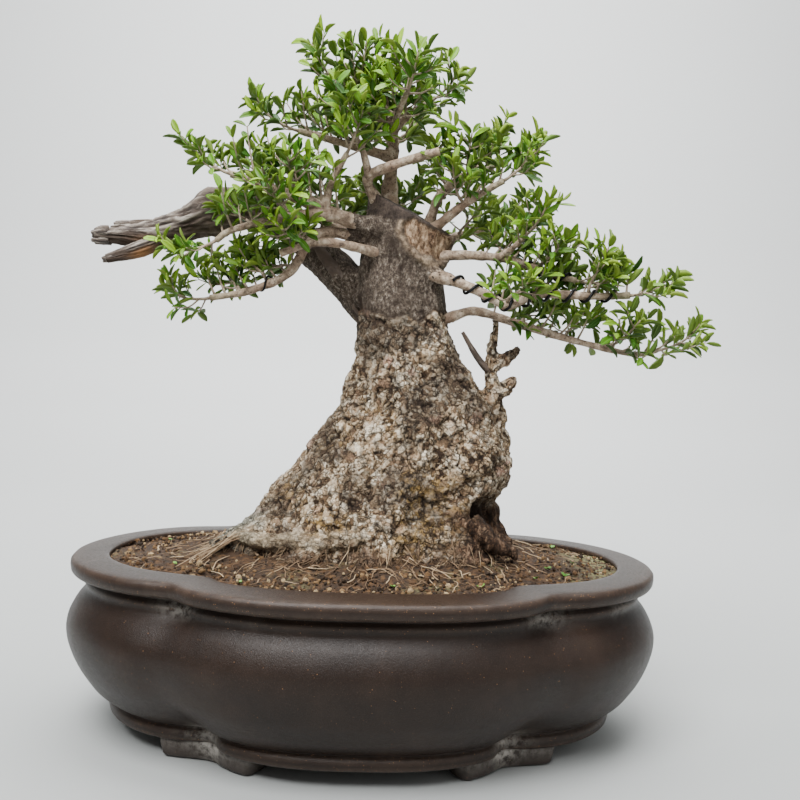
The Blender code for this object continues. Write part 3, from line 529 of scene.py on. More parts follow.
def tube(path, radii, sides, relief=None):
    """Rings round a path with both ends closed: points, quads and triangles."""
    path = np.array([tuple(point) for point in path])
    count = len(path)
    ahead = np.gradient(path, axis=0)
    ahead /= np.linalg.norm(ahead, axis=1)[:, None]
    side = np.zeros_like(path)
    start = np.cross(ahead[0], (0, 0, 1))
    if np.linalg.norm(start) < TUBE_UPRIGHT:
        start = np.array((1.0, 0, 0))
    side[0] = start / np.linalg.norm(start)
    for i in range(1, count):
        turned = side[i - 1] - ahead[i] * side[i - 1].dot(ahead[i])
        side[i] = turned / np.linalg.norm(turned)
    over = np.cross(side, ahead)
    turn = np.arange(sides) * 2 * np.pi / sides
    reach = np.asarray(radii, dtype=float)[:, None] * np.ones(sides)
    if relief is not None:
        reach = relief(reach, turn)
    rings = (path[:, None, :] + side[:, None, :] * (np.cos(turn)[None, :, None] * reach[:, :, None])
             + over[:, None, :] * (np.sin(turn)[None, :, None] * reach[:, :, None]))
    points = np.concatenate([rings.reshape(-1, 3), path[:1], path[-1:]])
    first = count * sides
    triangles = [fan(sides, first), fan(sides, first + 1, first - sides, flipped=True)]
    return points, grid_faces(count, sides)[:, ::-1], np.concatenate(triangles)


# Materials

class Paint:
    """A material built node by node round one Principled shader."""

    def __init__(self, name, roughness=0.7, metallic=0.0):
        self.material = bpy.data.materials.new(name)
        self.material.use_nodes = True
        self.tree = self.material.node_tree
        self.shader = self.tree.nodes["Principled BSDF"]
        self.shader.inputs["Roughness"].default_value = roughness
        self.shader.inputs["Metallic"].default_value = metallic
        self.place = self.tree.nodes.new("ShaderNodeTexCoord").outputs["Object"]

    def link(self, output, target):
        """Join an output to an input."""
        self.tree.links.new(output, target)

    def noise(self, scale, detail=4.0, roughness=0.55, stretch=None):
        """A noise pattern's value, with the scale in cycles a metre."""
        node = self.tree.nodes.new("ShaderNodeTexNoise")
        node.inputs["Scale"].default_value = scale
        node.inputs["Detail"].default_value = detail
        node.inputs["Roughness"].default_value = roughness
        self.link(self.stretched(stretch) if stretch else self.place, node.inputs["Vector"])
        return node.outputs["Fac"]

    def cell(self, scale, feature="F1", ragged=0.0, tone=False):
        """A cell pattern's distance or a tone for each cell, ragged by some millimetres of noise."""
        node = self.tree.nodes.new("ShaderNodeTexVoronoi")
        node.feature = feature
        node.inputs["Scale"].default_value = scale
        place = self.place
        if ragged:
            push = self.tree.nodes.new("ShaderNodeTexNoise")
            push.inputs["Scale"].default_value = scale * 0.7
            push.inputs["Detail"].default_value = 3
            self.link(self.place, push.inputs["Vector"])
            reach = self.tree.nodes.new("ShaderNodeVectorMath")
            reach.operation = "MULTIPLY_ADD"
            self.link(push.outputs["Color"], reach.inputs[0])
            reach.inputs[1].default_value = (ragged * MM,) * 3
            self.link(self.place, reach.inputs[2])
            place = reach.outputs[0]
        self.link(place, node.inputs["Vector"])
        if not tone:
            return node.outputs["Distance"]
        parts = self.tree.nodes.new("ShaderNodeSeparateColor")
        self.link(node.outputs["Color"], parts.inputs[0])
        return parts.outputs[0]

    def shaded(self, base, value):
        """A colour made lighter or darker by a value."""
        shade = self.tree.nodes.new("ShaderNodeCombineColor")
        for channel in shade.inputs:
            self.link(value, channel)
        return self.mix(1.0, base, shade.outputs["Color"], "MULTIPLY")

    def stretched(self, scale):
        """The place scaled by a different amount along each axis."""
        node = self.tree.nodes.new("ShaderNodeMapping")
        node.inputs["Scale"].default_value = scale
        self.link(self.place, node.inputs["Vector"])
        return node.outputs["Vector"]

    def number(self, name):
        """A number stored on the mesh."""
        node = self.tree.nodes.new("ShaderNodeAttribute")
        node.attribute_name = name
        return node.outputs["Fac"]

    def colours(self, value, *stops):
        """A colour ramp over a value: each stop is its place and its colour."""
        node = self.tree.nodes.new("ShaderNodeValToRGB")
        points = node.color_ramp.elements
        while len(points) < len(stops):
            points.new(0.5)
        for point, (spot, colour) in zip(points, stops):
            point.position = spot
            point.color = (*colour, 1)
        self.link(value, node.inputs["Fac"])
        return node.outputs["Color"]

    def step(self, value, low, high, first=0.0, last=1.0):
        """A value read between low and high, spread from first to last."""
        node = self.tree.nodes.new("ShaderNodeMapRange")
        node.inputs["From Min"].default_value = low
        node.inputs["From Max"].default_value = high
        node.inputs["To Min"].default_value = first
        node.inputs["To Max"].default_value = last
        self.link(value, node.inputs["Value"])
        return node.outputs["Result"]

    def patches(self, scale, detail, roughness, low, high, first=0.0, last=1.0):
        """Noise read between low and high: patches with soft edges."""
        return self.step(self.noise(scale, detail, roughness), low, high, first, last)

    def maths(self, operation, a, b):
        """Two values, or a value and a number, put together."""
        node = self.tree.nodes.new("ShaderNodeMath")
        node.operation = operation
        for value, target in ((a, node.inputs[0]), (b, node.inputs[1])):
            if isinstance(value, (int, float)):
                target.default_value = value
            else:
                self.link(value, target)
        return node.outputs[0]

    def times(self, a, b):
        """One value times another, or times a number."""
        return self.maths("MULTIPLY", a, b)

    def plus(self, first, *others):
        """Values added up."""
        for value in others:
            first = self.maths("ADD", first, value)
        return first

    def mix(self, share, a, b, blend="MIX"):
        """Two colours mixed by a share. A colour may be an output or three numbers."""
        node = self.tree.nodes.new("ShaderNodeMix")
        node.data_type = "RGBA"
        node.blend_type = blend
        if isinstance(share, (int, float)):
            node.inputs[0].default_value = share
        else:
            self.link(share, node.inputs[0])
        for value, target in ((a, node.inputs[6]), (b, node.inputs[7])):
            if isinstance(value, tuple):
                target.default_value = (*value, 1)
            else:
                self.link(value, target)
        return node.outputs[2]

    def colour(self, output):
        """Use a colour on the surface."""
        self.link(output, self.shader.inputs["Base Color"])

    def gloss(self, output):
        """Use a value as the roughness."""
        self.link(output, self.shader.inputs["Roughness"])

    def specular(self, level):
        """Set how strongly the surface reflects."""
        self.shader.inputs["Specular IOR Level"].default_value = level

    def bump(self, value, height, strength=1.0):
        """Raise the surface by a value, on top of any earlier bump."""
        node = self.tree.nodes.new("ShaderNodeBump")
        node.inputs["Distance"].default_value = height * MM
        node.inputs["Strength"].default_value = strength
        self.link(value, node.inputs["Height"])
        earlier = self.shader.inputs["Normal"]
        if earlier.is_linked:
            self.link(earlier.links[0].from_socket, node.inputs["Normal"])
        self.link(node.outputs["Normal"], earlier)


CLAY_TONES = ((0.3, (0.0085, 0.0040, 0.0023)), (0.52, (0.0135, 0.0068, 0.0040)),
              (0.75, (0.0220, 0.0120, 0.0074)))
CLAY_WORN = (0.062, 0.040, 0.028)
CLAY_FOOT = (0.052, 0.042, 0.036)
CLAY_SPECK = (0.42, 0.21, 0.09)
CLAY_DUST = (0.075, 0.048, 0.033)
CLAY_LIME = (0.42, 0.39, 0.35)


def clay_paint():
    """Dark chocolate unglazed clay with tan speckle and pale lime at the notches."""
    paint = Paint("dark_clay")
    worn = paint.number("worn")
    base = paint.colours(paint.noise(24, 6, 0.62), *CLAY_TONES)
    base = paint.mix(paint.times(worn, paint.patches(120, 5, 0.7, 0.35, 0.7, 0.25, 0.9)), base, CLAY_WORN)
    base = paint.mix(paint.times(paint.number("foot"), 0.8), base, CLAY_FOOT)
    speck = paint.step(paint.cell(430), 0.0, 0.17, 1.0, 0.0)
    some = paint.step(paint.plus(paint.noise(240, 2), paint.times(worn, 0.24)), 0.58, 0.64)
    base = paint.mix(paint.times(speck, some), base, CLAY_SPECK)
    base = paint.mix(paint.times(paint.patches(1300, 3, 0.7, 0.55, 0.72), 0.35), base, CLAY_DUST)
    film = paint.times(paint.number("lime"), paint.patches(190, 6, 0.72, 0.38, 0.58))
    paint.colour(paint.mix(film, base, CLAY_LIME))
    paint.gloss(paint.plus(paint.patches(500, 5, 0.7, 0.3, 0.7, 0.33, 0.50), paint.times(film, 0.35)))
    paint.specular(0.28)
    paint.bump(paint.noise(950, 5, 0.7), 0.28, 1.0)
    paint.bump(paint.noise(70, 3, 0.5), 0.8, 0.35)
    return paint.material


SOIL_TONES = ((0.0, (0.016, 0.009, 0.004)), (0.35, (0.048, 0.024, 0.010)), (0.62, (0.115, 0.058, 0.021)),
              (0.84, (0.21, 0.125, 0.052)), (1.0, (0.42, 0.32, 0.18)))
MOSS_GREEN = (0.20, 0.20, 0.085)


def soil_paint():
    """Coarse brown soil with a little moss."""
    paint = Paint("soil", 0.95)
    base = paint.colours(paint.number("grain"), *SOIL_TONES)
    base = paint.shaded(base, paint.patches(700, 5, 0.75, 0.3, 0.7, 0.45, 1.35))
    green = paint.times(paint.number("moss"), paint.patches(260, 4, 0.55, 0.45, 0.6))
    paint.colour(paint.mix(green, base, MOSS_GREEN))
    paint.bump(paint.noise(900, 6, 0.75), 0.8, 0.9)
    return paint.material


OLD_BARK_TONES = ((0.17, (0.036, 0.020, 0.011)), (0.31, (0.17, 0.105, 0.058)), (0.43, (0.39, 0.275, 0.165)),
                  (0.54, (0.61, 0.480, 0.325)), (0.70, (0.87, 0.76, 0.59)))
YOUNG_BARK_TONES = ((0.38, (0.016, 0.011, 0.008)), (0.47, (0.062, 0.045, 0.033)),
                    (0.54, (0.15, 0.118, 0.090)), (0.65, (0.46, 0.40, 0.33)))
LICHEN_TONES = ((0.35, (0.10, 0.105, 0.080)), (0.6, (0.42, 0.43, 0.36)))
BARK_RUSSET = (0.36, 0.225, 0.145)
BARK_PINK = (0.52, 0.29, 0.21)
BARK_GLOOM = (0.060, 0.043, 0.031)
BARK_OCHRE = (0.42, 0.265, 0.085)
YOUNG_BARK_DARK = (0.048, 0.034, 0.025)
# Painted shade: near-black painted into the bark's splits, cracks and hollow.
BARK_SPLIT_SHADE = (0.016, 0.009, 0.005)
BARK_CRACK_SHADE = (0.014, 0.008, 0.005)
BARK_HOLLOW_SHADE = (0.020, 0.012, 0.007)
# Zones laid over the bark: the mesh's number, its noise, and the noise's tones
BARK_ZONES = (
    ("pale", (160, 8, 0.8, (0.5, 1, 1.6)), ((0.38, (0.13, 0.085, 0.048)), (0.6, (0.60, 0.50, 0.34)))),
    ("scar", (190, 8, 0.85, (1, 1, 0.5)),
     ((0.39, (0.030, 0.016, 0.009)), (0.48, (0.17, 0.100, 0.056)), (0.60, (0.52, 0.38, 0.25)))),
    ("callus", (170, 8, 0.8), ((0.38, (0.085, 0.052, 0.032)), (0.60, (0.46, 0.35, 0.24)))),
    ("sawn", (110, 8, 0.75, (1.6, 0.4, 1)),
     ((0.37, (0.018, 0.013, 0.011)), (0.62, (0.095, 0.070, 0.055)))),
    ("fibre", (170, 8, 0.78, (1, 1, 0.35)),
     ((0.37, (0.014, 0.008, 0.005)), (0.5, (0.085, 0.044, 0.024)), (0.64, (0.34, 0.22, 0.14)))),
)
# Two sizes of bark plate: cells a metre, and how ragged their edges are in millimetres
WIDE_PLATES = (150, 7.0)
THIN_PLATES = (290, 4.5)


def old_bark_colour(paint, wide_tone, thin_tone):
    """Old bark: plates of many tones, raised plates painted lighter as painted light, with russet, pink,
    dark, ochre and lichen patches.
    """
    tone = paint.plus(paint.times(wide_tone, 0.24), paint.times(thin_tone, 0.34),
                      paint.times(paint.noise(430, 8, 0.8), 0.66), paint.times(paint.number("plate"), 0.34))
    base = paint.colours(paint.maths("SUBTRACT", tone, 0.28), *OLD_BARK_TONES)
    base = paint.mix(paint.patches(60, 4, 0.6, 0.52, 0.64, 0.0, 0.45), base, BARK_RUSSET)
    base = paint.mix(paint.number("pink"), base, BARK_PINK)
    base = paint.mix(paint.number("gloom"), base, BARK_GLOOM)
    ochre = paint.times(paint.number("ochre"), paint.patches(160, 5, 0.7, 0.46, 0.58, 0.0, 0.7))
    base = paint.mix(ochre, base, BARK_OCHRE)
    return paint.mix(paint.number("lichen"), base, paint.colours(paint.noise(260, 5, 0.7), *LICHEN_TONES))


def young_bark_colour(paint):
    """The smoother, darker bark above."""
    base = paint.colours(paint.noise(330, 9, 0.85, (1, 1, 0.75)), *YOUNG_BARK_TONES)
    return paint.mix(paint.patches(26, 6, 0.7, 0.43, 0.60, 0.0, 0.60), base, YOUNG_BARK_DARK)


def plate_split_shade(paint, flaking):
    """The fine splits between the plates of the old bark, missing in patches, where dark is painted as shade.
    """
    wide = paint.step(paint.cell(WIDE_PLATES[0], "DISTANCE_TO_EDGE", WIDE_PLATES[1]), 0.0, 0.085, 0.95, 0.0)
    thin = paint.step(paint.cell(THIN_PLATES[0], "DISTANCE_TO_EDGE", THIN_PLATES[1]), 0.0, 0.10, 0.75, 0.0)
    some = paint.patches(90, 4, 0.7, 0.40, 0.50)
    return paint.times(paint.maths("MAXIMUM", wide, thin), paint.times(some, flaking))


def bark_paint():
    """Flaking old bark low down and smoother bark above, with lichen and scars, and with painted shade: its
    cracks, splits and hollow are painted dark.
    """
    paint = Paint("olive_bark", 0.9)
    smooth = paint.plus(paint.number("young"), paint.number("scar"), paint.number("sawn"),
                        paint.times(paint.number("pale"), 0.6))
    flaking = paint.maths("SUBTRACT", 1.0, paint.maths("MINIMUM", smooth, 1.0))
    wide_tone = paint.cell(WIDE_PLATES[0], ragged=WIDE_PLATES[1], tone=True)
    thin_tone = paint.cell(THIN_PLATES[0], ragged=THIN_PLATES[1], tone=True)
    old = old_bark_colour(paint, wide_tone, thin_tone)
    base = paint.mix(paint.number("young"), old, young_bark_colour(paint))
    for name, grain, tones in BARK_ZONES:
        base = paint.mix(paint.number(name), base, paint.colours(paint.noise(*grain), *tones))
    base = paint.shaded(base, paint.patches(480, 6, 0.78, 0.34, 0.68, 0.45, 1.25))
    split_shade = plate_split_shade(paint, flaking)
    # Painted shade: the splits between plates are painted near-black.
    base = paint.mix(split_shade, base, BARK_SPLIT_SHADE)
    # Painted shade: the cracks and grooves are painted near-black.
    base = paint.mix(paint.number("crack_shade"), base, BARK_CRACK_SHADE)
    # Painted shade: the hollow on the right is painted near-black through its dark number.
    paint.colour(paint.mix(paint.number("dark"), base, BARK_HOLLOW_SHADE))
    paint.specular(0.25)
    paint.bump(paint.noise(620, 6, 0.78), 0.9, 0.9)
    paint.bump(paint.noise(210, 5, 0.65), 1.2, 0.5)
    raised = paint.times(paint.plus(wide_tone, paint.times(thin_tone, 0.5)), flaking)
    paint.bump(paint.maths("SUBTRACT", raised, split_shade), 1.0, 0.9)
    return paint.material


BRANCH_TONES = ((0.34, (0.105, 0.068, 0.042)), (0.5, (0.30, 0.218, 0.150)), (0.64, (0.56, 0.455, 0.345)))
BRANCH_BROWN = (0.30, 0.19, 0.125)
BRANCH_SPECK = (0.070, 0.045, 0.030)
BRANCH_FRESH = (0.27, 0.26, 0.15)
BRANCH_CUT = (0.45, 0.34, 0.22)


def branch_paint():
    """Smooth living bark, tan to pinkish grey, with brown patches and dark specks."""
    paint = Paint("branch_bark", 0.75)
    base = paint.colours(paint.noise(120, 6, 0.68), *BRANCH_TONES)
    base = paint.mix(paint.patches(48, 3, 0.55, 0.5, 0.68, 0.0, 0.55), base, BRANCH_BROWN)
    base = paint.mix(paint.patches(360, 5, 0.75, 0.53, 0.64), base, BRANCH_SPECK)
    base = paint.mix(paint.number("fresh"), base, BRANCH_FRESH)
    paint.colour(paint.mix(paint.number("cut"), base, BRANCH_CUT))
    paint.bump(paint.noise(420, 6, 0.75), 0.8, 0.9)
    return paint.material


DEAD_WOOD_TONES = ((0.0, (0.024, 0.017, 0.014)), (0.30, (0.095, 0.076, 0.064)), (0.6, (0.27, 0.230, 0.190)),
                   (1.0, (0.62, 0.57, 0.50)))
DEAD_WOOD_GRAIN = (0.040, 0.028, 0.021)
DEAD_WOOD_STREAK = (0.085, 0.058, 0.042)
DEAD_WOOD_UNDER_SHADE = (0.045, 0.026, 0.015)
DEAD_WOOD_BROWN = (0.115, 0.080, 0.058)
DEAD_WOOD_RUST = (0.30, 0.135, 0.045)


def dead_wood_paint():
    """Weathered silver wood with long dark grain, browner towards the trunk, with painted shade beneath."""
    paint = Paint("dead_wood", 0.85)
    base = paint.colours(paint.number("grain"), *DEAD_WOOD_TONES)
    fine = paint.noise(190, 7, 0.75, (0.22, 1, 1))
    base = paint.mix(paint.step(fine, 0.50, 0.62, 0.0, 0.9), base, DEAD_WOOD_GRAIN)
    streaks = paint.noise(85, 7, 0.75, (0.5, 1, 1))
    base = paint.mix(paint.step(streaks, 0.48, 0.60, 0.0, 0.75), base, DEAD_WOOD_STREAK)
    # Painted shade: the undersides of the limbs are painted dark.
    base = paint.mix(paint.times(paint.number("under"), 0.95), base, DEAD_WOOD_UNDER_SHADE)
    brown = paint.times(paint.number("brown"), paint.patches(70, 5, 0.65, 0.38, 0.6, 0.25, 0.9))
    base = paint.mix(brown, base, DEAD_WOOD_BROWN)
    paint.colour(paint.mix(paint.number("rust"), base, DEAD_WOOD_RUST))
    paint.bump(paint.noise(340, 7, 0.78, (0.2, 1, 1)), 1.6, 1.0)
    paint.bump(paint.noise(120, 6, 0.7), 2.2, 0.7)
    return paint.material


WIRE_TONES = ((0.4, (0.012, 0.012, 0.013)), (0.7, (0.030, 0.029, 0.030)))


def wire_paint():
    """Black anodised wire."""
    paint = Paint("black_wire", 0.38, 0.85)
    paint.colour(paint.colours(paint.noise(240, 3), *WIRE_TONES))
    paint.gloss(paint.patches(500, 3, 0.55, 0.3, 0.7, 0.30, 0.5))
    return paint.material


def leaf_paint(name, dark, mid, light, young, roughness):
    """One side of a leaf: tint by leaf, a paler midrib and yellow-green young leaves."""
    paint = Paint(name, roughness)
    base = paint.colours(paint.number("tint"), (0.0, dark), (0.5, mid), (1.0, light))
    base = paint.mix(paint.number("young"), base, young)
    blotch = tuple(0.6 * part for part in mid)
    base = paint.mix(paint.patches(330, 3, 0.55, 0.35, 0.7, 0.0, 0.22), base, blotch)
    rib = tuple(min(1, 1.7 * part + 0.05) for part in mid)
    paint.colour(paint.mix(paint.step(paint.number("across"), 0.0, 0.16, 0.55, 0.0), base, rib))
    paint.gloss(paint.patches(500, 2, 0.55, 0.3, 0.7, roughness - 0.05, roughness + 0.08))
    paint.bump(paint.noise(800, 3), 0.12, 0.5)
    paint.specular(0.25)
    return paint.material


def plain_paint(name, first, second, scale, roughness):
    """Two tones of one colour mixed by noise."""
    paint = Paint(name, roughness)
    paint.colour(paint.colours(paint.noise(scale, 4), (0.35, first), (0.65, second)))
    paint.bump(paint.noise(scale * 3, 4), 0.2, 0.5)
    return paint.material


# Pot

def plan_radius(angle, half_length, half_depth, lobe_length, inset=0, notch=NOTCH_DEPTH,
                sharp=LOBE_SHARPNESS):
    """The pot's plan: the outermost of the end and front lobes, blended, less the notch between."""
    half_length, half_depth, lobe_length = half_length - inset, half_depth - inset, lobe_length - inset
    cosine = np.abs(np.cos(angle))
    sine = np.abs(np.sin(angle))
    round_end = half_depth - END_LOBE_INSET
    middle = half_length - round_end
    reach = round_end ** 2 - (middle * sine) ** 2
    end = np.where(reach > 0, middle * cosine + np.sqrt(np.maximum(reach, 0)), 1)
    power = FRONT_LOBE_POWER
    front = ((cosine / lobe_length) ** power + (sine / half_depth) ** power) ** (-1 / power)
    top = np.maximum(end, front)
    outer = top * ((end / top) ** sharp + (front / top) ** sharp) ** (1 / sharp)
    return outer - notch * notch_share(angle, NOTCH_WIDTH_DEGREES)


def notch_share(angle, width):
    """How close a direction is to a notch, from 0 to 1."""
    folded = np.degrees(np.arctan2(np.abs(np.sin(angle)), np.abs(np.cos(angle))))
    return np.exp(-((folded - NOTCH_DEGREES) / width) ** 2)


def squared(value):
    """A cosine or sine drawn out, so that a circle becomes a soft-cornered square."""
    return math.copysign(abs(value) ** FOOT_CORNER_POWER, value)


def foot_section(angle, swing):
    """One upright section of a bracket foot. Its ends are drawn in and its lower edge is narrower."""
    tall = FOOT_TOP - FOOT_BOTTOM
    end = max(0.0, (abs(swing) - FOOT_END_FROM) / FOOT_END_LENGTH)
    outer = float(plan_radius(angle, *FOOT_OUTER, 0, FOOT_NOTCH_DEPTH))
    inner = float(plan_radius(angle, *FOOT_INNER, 0, FOOT_NOTCH_DEPTH))
    centre = (outer + inner) / 2
    half = (outer - inner) / 2
    shrink = math.sqrt(max(0.0, 1 - end * end * FOOT_END_SHRINK))
    ring = []
    for corner in range(FOOT_CORNERS):
        turn = 2 * math.pi * corner / FOOT_CORNERS
        across = squared(math.cos(turn))
        upward = squared(math.sin(turn))
        low = (1 - upward) / 2
        draw_in = FOOT_SHRINK * low * (1 if across > 0 else FOOT_INSIDE_SHRINK)
        radius = centre + across * (half * shrink - draw_in / 2) - (draw_in / 2 if across > 0 else 0)
        direction = angle - math.radians(FOOT_LEAN_DEGREES) * swing * low
        height = FOOT_BOTTOM + tall / 2 + tall / 2 * upward * (0.6 + 0.4 * shrink if end else 1)
        ring.append((radius * math.cos(direction), radius * math.sin(direction), height))
    return ring


def foot_shape(middle):
    """One bracket foot with soft edges, as a closed ring of sections."""
    sections = []
    for step in range(FOOT_SECTIONS):
        swing = 2 * step / (FOOT_SECTIONS - 1) - 1
        sections.append(foot_section(middle + math.radians(FOOT_SPREAD_DEGREES) * swing, swing))
    corner = np.arange(FOOT_CORNERS)
    ends = [corner[::-1], corner + (FOOT_SECTIONS - 1) * FOOT_CORNERS]
    triangles = [np.stack([np.full(FOOT_CORNERS - 2, end[0]), end[1:-1], end[2:]], 1) for end in ends]
    quads = grid_faces(FOOT_SECTIONS, FOOT_CORNERS)
    return np.array(sections).reshape(-1, 3), quads, np.concatenate(triangles)


def bell(heights, middle, width, power=2):
    """How close heights are to a middle one, from 0 to 1."""
    return np.exp(-((heights - middle) / width) ** power)


def pot_rings(angle):
    """The pot's wall from the soil up the inside, over the rim and down to the floor."""
    rings = []
    for *plan, height in smooth_path(POT_ROWS, POT_STEP):
        belly = math.exp(-((height - BELLY_HEIGHT) / BELLY_REACH) ** 4)
        notch = NOTCH_DEPTH + (BELLY_NOTCH_DEPTH - NOTCH_DEPTH) * belly
        sharp = LOBE_SHARPNESS + (BELLY_SHARPNESS - LOBE_SHARPNESS) * belly
        radius = plan_radius(angle, *plan, 0, notch, sharp)
        level = np.full(POT_ANGLES, height)
        rings.append(np.stack([radius * np.cos(angle), radius * np.sin(angle), level], 1))
    return rings


def make_pot():
    """The fired pot with its rim, neck, belly, base band and feet."""
    rings = pot_rings(np.arange(POT_ANGLES) * 2 * np.pi / POT_ANGLES)
    points = np.concatenate(rings)
    row_heights = points[:, 2].copy()
    flat = np.linalg.norm(points[:, :2], axis=1)[:, None]
    wobble = soft_noise(points, 55, 3) * 0.45 + soft_noise(points, 17, 4) * 0.16
    points[:, :2] *= 1 + (wobble[:, None] / flat)
    points[:, 2] += np.where(points[:, 2] > FLAT_BELOW, soft_noise(points, 48, 5) * 0.3, 0)
    neck = bell(row_heights, NECK_HEIGHT, 6)
    band = bell(row_heights, BASE_BAND_HEIGHT, 7)
    lime = notch_share(np.arctan2(points[:, 1], points[:, 0]), 4.5) * np.clip(0.7 * neck + band, 0, 1) * 0.8
    lime += 0.22 * neck * ramp(soft_noise(points, 40, 8), 0.2, 0.7)
    worn = np.clip(sum(bell(row_heights, height, width) for height, width in WORN_EDGES), 0, 1)
    heap = Heap()
    heap.add(points, quads=grid_faces(len(rings), POT_ANGLES)[:, ::-1], lime=lime, worn=worn, foot=0.0)
    bottom = points[-POT_ANGLES:]
    underside = np.concatenate([bottom, [[0, 0, bottom[0][2]]]])
    heap.add(underside, triangles=fan(POT_ANGLES, POT_ANGLES)[:, ::-1], lime=0.0, worn=0.0, foot=0.6)
    middle = math.radians(FOOT_MIDDLE_DEGREES)
    for direction in (middle, math.pi - middle, math.pi + middle, -middle):
        foot, quads, triangles = foot_shape(direction)
        high = ramp(foot[:, 2], 2, 14)
        crust = notch_share(np.arctan2(foot[:, 1], foot[:, 0]), 4) * (0.45 + 0.75 * high) + 0.25 * high
        heap.add(foot, quads=quads, triangles=triangles, lime=np.clip(crust, 0, 1), worn=0.0, foot=1.0)
    return heap.finish("pot_clay", [clay_paint()], "clay", "pot")


# Trunk

def angle_between(a, b):
    """The smaller angle between directions, in degrees."""
    return np.abs((a - b + 180) % 360 - 180)


def trunk_skin(angle, height):
    """The trunk's skin for arrays of directions and heights, without its fine bark."""
    table = np.array(TRUNK_SECTIONS, dtype=float)
    left, right, depth = (np.interp(height, table[:, 0], table[:, i]) for i in (1, 2, 3))
    soil_line = SOIL_TRUNK_HEIGHT + 1
    half = (right - left) / 2
    radius = 1 / np.sqrt((np.cos(angle) / half) ** 2 + (np.sin(angle) / depth) ** 2)
    degrees = np.degrees(angle) % 360
    bulge = np.full(radius.shape, -ROOT_LOBE_DIP)
    for lobe, strength, width in ROOT_LOBES:
        bulge = bulge + strength * np.exp(-(angle_between(degrees, lobe) / width) ** 2)
    rise = np.maximum(0, height - soil_line)
    radius = radius * (1 + bulge * np.exp(-rise / ROOT_LOBE_FADE))
    away = angle_between(degrees, HOLLOW_DEGREES) / HOLLOW_WIDTH_DEGREES
    above = (height - HOLLOW_HEIGHT) / HOLLOW_TALL
    radius = radius - HOLLOW_DEPTH * np.exp(-away ** 2 - above ** 2)
    blend = np.clip((height - BARK_CHANGE_HEIGHT) / 30, 0, 1)
    lump = (LUMP_HEIGHT_OLD + (LUMP_HEIGHT_YOUNG - LUMP_HEIGHT_OLD) * blend) * np.minimum(1, rise / 12)
    around = np.stack([np.cos(angle) * half, np.sin(angle) * depth, height], -1) / LUMP_SIZE
    lumps = np.array([noise.noise(point) for point in around.reshape(-1, 3)]).reshape(radius.shape)
    radius = radius + lump * lumps
    return np.stack([(left + right) / 2 + np.cos(angle) * radius, np.sin(angle) * radius, height], -1)


def cut_height(points):
    """How high the sloping sawn top is over points."""
    x, y, z = TOP_CUT_NORMAL
    fall = x * (points[:, 0] - TOP_CUT_POINT[0]) + y * (points[:, 1] - TOP_CUT_POINT[1])
    return TOP_CUT_POINT[2] - fall / z


def trunk_rows(angle):
    """The trunk's rings of points, from the soil to the sloping cut."""
    columns = len(angle)
    heights = np.concatenate([[TRUNK_BOTTOM], np.arange(SOIL_TRUNK_HEIGHT - 6, 420, TRUNK_RING_STEP)])
    rows = [trunk_skin(angle, np.full(columns, height)) for height in heights]
    top = trunk_skin(angle, np.full(columns, 440.0))
    for _ in range(CUT_ROUNDS):
        top = trunk_skin(angle, cut_height(top))
    base = rows[-1]
    for share in SHARES_TO_CUT:
        rows.append(trunk_skin(angle, base[:, 2] + (top[:, 2] - base[:, 2]) * share))
    return rows


def branch_root(places, radius):
    """A branch's flared root: its path and radii, or nothing where it doesn't leave the trunk's side."""
    path = [Vector(spot) for spot in places[:2]]
    path[1] = path[0].lerp(path[1], min(1, BRANCH_ROOT_LENGTH / (path[1] - path[0]).length))
    high = path[1].z > cut_height(np.array([tuple(path[1])]))[0] - 4
    if high or (path[0] - Vector((*TRUNK_CENTRE, path[0].z))).length >= TRUNK_REACH:
        return None
    return resampled(path, (radius * 1.7, radius * 1.02), 3)


def trunk_blank():
    """The trunk's smooth body with its roots and stump, before the bark is raised."""
    rows = trunk_rows(np.arange(TRUNK_COLUMNS) * 2 * np.pi / TRUNK_COLUMNS)
    ends = np.array([rows[0].mean(0), rows[-1].mean(0)])
    first = len(rows) * TRUNK_COLUMNS
    closing = np.concatenate([fan(TRUNK_COLUMNS, first, flipped=True),
                              fan(TRUNK_COLUMNS, first + 1, first - TRUNK_COLUMNS)])
    heap = Heap()
    heap.add(np.concatenate([*rows, ends]), quads=grid_faces(len(rows), TRUNK_COLUMNS), triangles=closing)
    for _, places, radii in TRUNK_LIMBS:
        heap.add_tube(*resampled([Vector(spot) for spot in places], radii, 4), 20)
    for _, places, radius, *_ in BRANCHES:
        root = branch_root(places, radius)
        if root:
            heap.add_tube(*root, 16)
    _, places, radii = DEAD_LIMBS[0]
    heap.add_tube(*resampled([Vector(spot) for spot in places[:4]], radii[:4], 4), 24)
    return heap.build("trunk_blank", [])


def remeshed(thing, voxel):
    """The points, faces and normals of a thing after voxel remeshing and light smoothing."""
    remesh = thing.modifiers.new("skin", "REMESH")
    remesh.mode = "VOXEL"
    remesh.voxel_size = voxel * MM
    calm = thing.modifiers.new("calm", "SMOOTH")
    calm.iterations = 3
    calm.factor = 0.5
    bpy.context.view_layer.update()
    graph = bpy.context.evaluated_depsgraph_get()
    mesh = bpy.data.meshes.new_from_object(thing.evaluated_get(graph))
    count = len(mesh.vertices)
    points = np.empty(count * 3, dtype=np.float32)
    normals = np.empty(count * 3, dtype=np.float32)
    mesh.vertices.foreach_get("co", points)
    mesh.vertex_normals.foreach_get("vector", normals)
    loops = np.empty(len(mesh.loops), dtype=np.int32)
    mesh.loops.foreach_get("vertex_index", loops)
    faces = loops.reshape(-1, 4)
    points = (points.reshape(-1, 3).astype(float) - CENTRE) / MM
    bpy.data.objects.remove(thing)
    return points, faces, normals.reshape(-1, 3).astype(float)


def jagged(points, size, amount, salt):
    """Points pushed about by noise, so that cells drawn over them get ragged edges."""
    push = np.stack([rough_noise(points, size, 2, salt + 3 * i) for i in range(3)], 1)
    return points + push * amount


